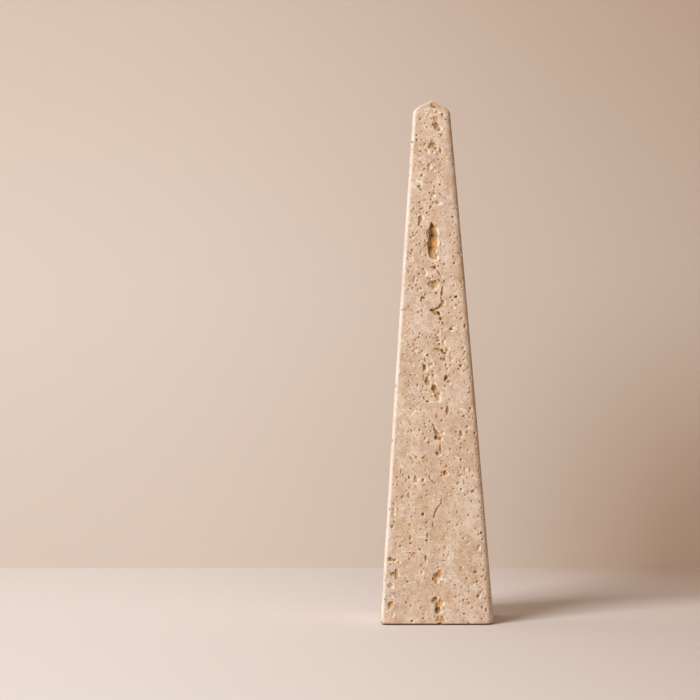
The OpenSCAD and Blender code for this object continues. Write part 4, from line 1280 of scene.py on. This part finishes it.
def stage_plane(name, material, place):
    """Make a large flat sheet for the stage, facing up until it is moved to its place."""
    sheet = bmesh.new()
    bmesh.ops.create_grid(sheet, x_segments=1, y_segments=1, size=SHEET_SIZE / 2)
    plane = mesh_object(name, sheet, [material])
    plane.data.transform(place)


def mix_shaders(tree, column, row, choice, first, second, output):
    """Show one shader where a choice is 0 and another where it is 1."""
    mixed = add_node(tree, "ShaderNodeMixShader", column, row)
    for socket, value in zip(mixed.inputs, (choice, first.outputs[0], second.outputs[0])):
        tree.links.new(value, socket)
    tree.links.new(mixed.outputs[0], tree.nodes[output].inputs["Surface"])


def stage_material(name, colour, shaded_colour, corner, one_sided=False):
    """Make a matt material with painted shade, which darkens upwards, to the right and in the far right
    corner.
    """
    material, tree, shader, coordinates = new_material(name)
    place = axes_node(tree, 0, 0, coordinates["Object"])
    # Painted shade: darker to the right and upwards, as the lamp's light falls off
    rightward = spread_node(tree, 1, 0, place[0], -0.3, 0.65, 0, 0.8)
    upward = spread_node(tree, 1, 1, place[2], 0.22, 0.75, 0, 0.6)
    # Painted shade: the table top meets the backdrop in a corner, round which both are darker towards the
    # right, standing in for the soft shadow there, and the table top darkens the further out
    outward = math_node(tree, 1, 3, "MULTIPLY", place[1], 0.7)
    behind_corner = math_node(tree, 2, 2, "SUBTRACT", place[2], outward)
    near_corner = spread_node(tree, 3, 2, behind_corner, -0.7 * corner, 0.3 - 0.7 * corner, 1, 0)
    corner_right = math_node(tree, 4, 2, "MULTIPLY", near_corner,
                             spread_node(tree, 3, 3, place[0], 0.03, 0.26, 0.12, 0.57))
    shade = math_node(tree, 5, 1, "ADD", math_node(tree, 3, 0, "ADD", rightward, upward), corner_right)
    tree.links.new(tint_node(tree, 6, 0, shade, colour, shaded_colour), shader.inputs["Base Color"])
    shader.inputs["Roughness"].default_value = 0.8
    shader.inputs["Specular IOR Level"].default_value = 0.2
    if one_sided:
        behind = add_node(tree, "ShaderNodeNewGeometry", 7, 2).outputs["Backfacing"]
        clear = add_node(tree, "ShaderNodeBsdfTransparent", 7, 3)
        mix_shaders(tree, 11, 1, behind, shader, clear, "Material Output")
    return material


def room_world(room_light, backdrop_colour):
    """Light the room evenly, and show the backdrop's colour past the stage and in reflections."""
    world = bpy.data.worlds.new("room")
    world.use_nodes = True
    tree = world.node_tree
    even = tree.nodes["Background"]
    even.inputs["Color"].default_value = (*ROOM_COLOUR, 1)
    even.inputs["Strength"].default_value = room_light
    seen = add_node(tree, "ShaderNodeBackground", 0, 2)
    seen.inputs["Color"].default_value = (*backdrop_colour, 1)
    rays = add_node(tree, "ShaderNodeLightPath", 0, -2).outputs
    shown = rays["Is Camera Ray"]
    for step, kind in enumerate(("Is Glossy Ray", "Is Transmission Ray")):
        shown = math_node(tree, 1, step - 2, "MAXIMUM", shown, rays[kind])
    mix_shaders(tree, 2, 0, shown, even, seen, "World Output")
    bpy.context.scene.world = world


def key_lamp(power):
    """Hang a large square soft lamp on the left, pointed at the obelisk."""
    light = bpy.data.lights.new("key_lamp", "AREA")
    light.shape = "SQUARE"
    light.size = LAMP_SIZE
    light.energy = power
    light.color = LAMP_COLOUR
    lamp = bpy.data.objects.new("key_lamp", light)
    lamp.location = LAMP_PLACE
    lamp.rotation_euler = (LAMP_AIM - LAMP_PLACE).to_track_quat("-Z", "Y").to_euler()
    bpy.context.scene.collection.objects.link(lamp)


def photo_camera(scene):
    """Set up the camera, which looks level from its place towards the backdrop."""
    view = bpy.data.cameras.new("photo_camera")
    view.lens = CAMERA_LENS_MM
    view.sensor_width = CAMERA_SENSOR_MM
    view.shift_x = CAMERA_SHIFT
    view.clip_end = 50
    camera = bpy.data.objects.new("photo_camera", view)
    camera.location = CAMERA_PLACE
    camera.rotation_euler = (math.pi / 2, 0, 0)
    scene.collection.objects.link(camera)
    scene.camera = camera


class OBELISK_OT_stage(bpy.types.Operator):
    """Set the camera, the pale table top, the backdrop and the lamp"""

    bl_idname = "obelisk.stage"
    bl_label = "Stage"

    def execute(self, context):
        scene = context.scene
        settings = scene.obelisk_stage
        corner = settings.wall_distance
        table = stage_material("table_top", settings.floor_colour, settings.floor_shaded_colour, corner)
        stage_plane("table_top", table, Matrix.Translation((0, corner - SHEET_SIZE / 2, 0)))
        wall = stage_material("backdrop", settings.wall_colour, settings.wall_shaded_colour, corner, True)
        upended = Matrix.Rotation(math.pi / 2, 4, "X")
        stage_plane("backdrop", wall, Matrix.Translation((0, corner, SHEET_SIZE / 2)) @ upended)
        key_lamp(settings.key_power)
        room_world(settings.room_light, settings.wall_colour)
        photo_camera(scene)
        scene.view_settings.view_transform = "Standard"
        return {"FINISHED"}


class OBELISK_PT_sidebar(bpy.types.Panel):
    """Sizes, colours and steps of the travertine obelisk"""

    bl_idname = "OBELISK_PT_sidebar"
    bl_label = "Travertine Obelisk"
    bl_space_type = "VIEW_3D"
    bl_region_type = "UI"
    bl_category = "Obelisk"

    def draw(self, context):
        layout = self.layout
        for heading, name in GROUPS:
            settings = getattr(context.scene, name)
            box = layout.box()
            box.label(text=heading)
            for entry in settings.bl_rna.properties:
                if entry.identifier not in ("rna_type", "name"):
                    box.prop(settings, entry.identifier)
        for operator in OPERATORS:
            layout.operator(operator.bl_idname)


GROUPS = (("Block", "obelisk_block"), ("Voids", "obelisk_voids"),
          ("Colours", "obelisk_colours"), ("Stage", "obelisk_stage"))
SETTINGS = (ObeliskBlockSizes, ObeliskVoidSizes, ObeliskStoneColours, ObeliskStageSettings)
OPERATORS = (OBELISK_OT_stage, OBELISK_OT_block)


def register():
    """Register the settings, the operators and the panel."""
    for part in SETTINGS + OPERATORS + (OBELISK_PT_sidebar,):
        bpy.utils.register_class(part)
    for settings, (heading, name) in zip(SETTINGS, GROUPS):
        setattr(bpy.types.Scene, name, PointerProperty(type=settings, name=heading))


def unregister():
    """Take the panel, the operators and the settings away again."""
    for _, name in GROUPS:
        delattr(bpy.types.Scene, name)
    for part in reversed(SETTINGS + OPERATORS + (OBELISK_PT_sidebar,)):
        bpy.utils.unregister_class(part)


def main():
    """Make the whole scene."""
    register()
    bpy.ops.obelisk.stage()
    bpy.ops.obelisk.block()


if __name__ == "__main__":
    main()
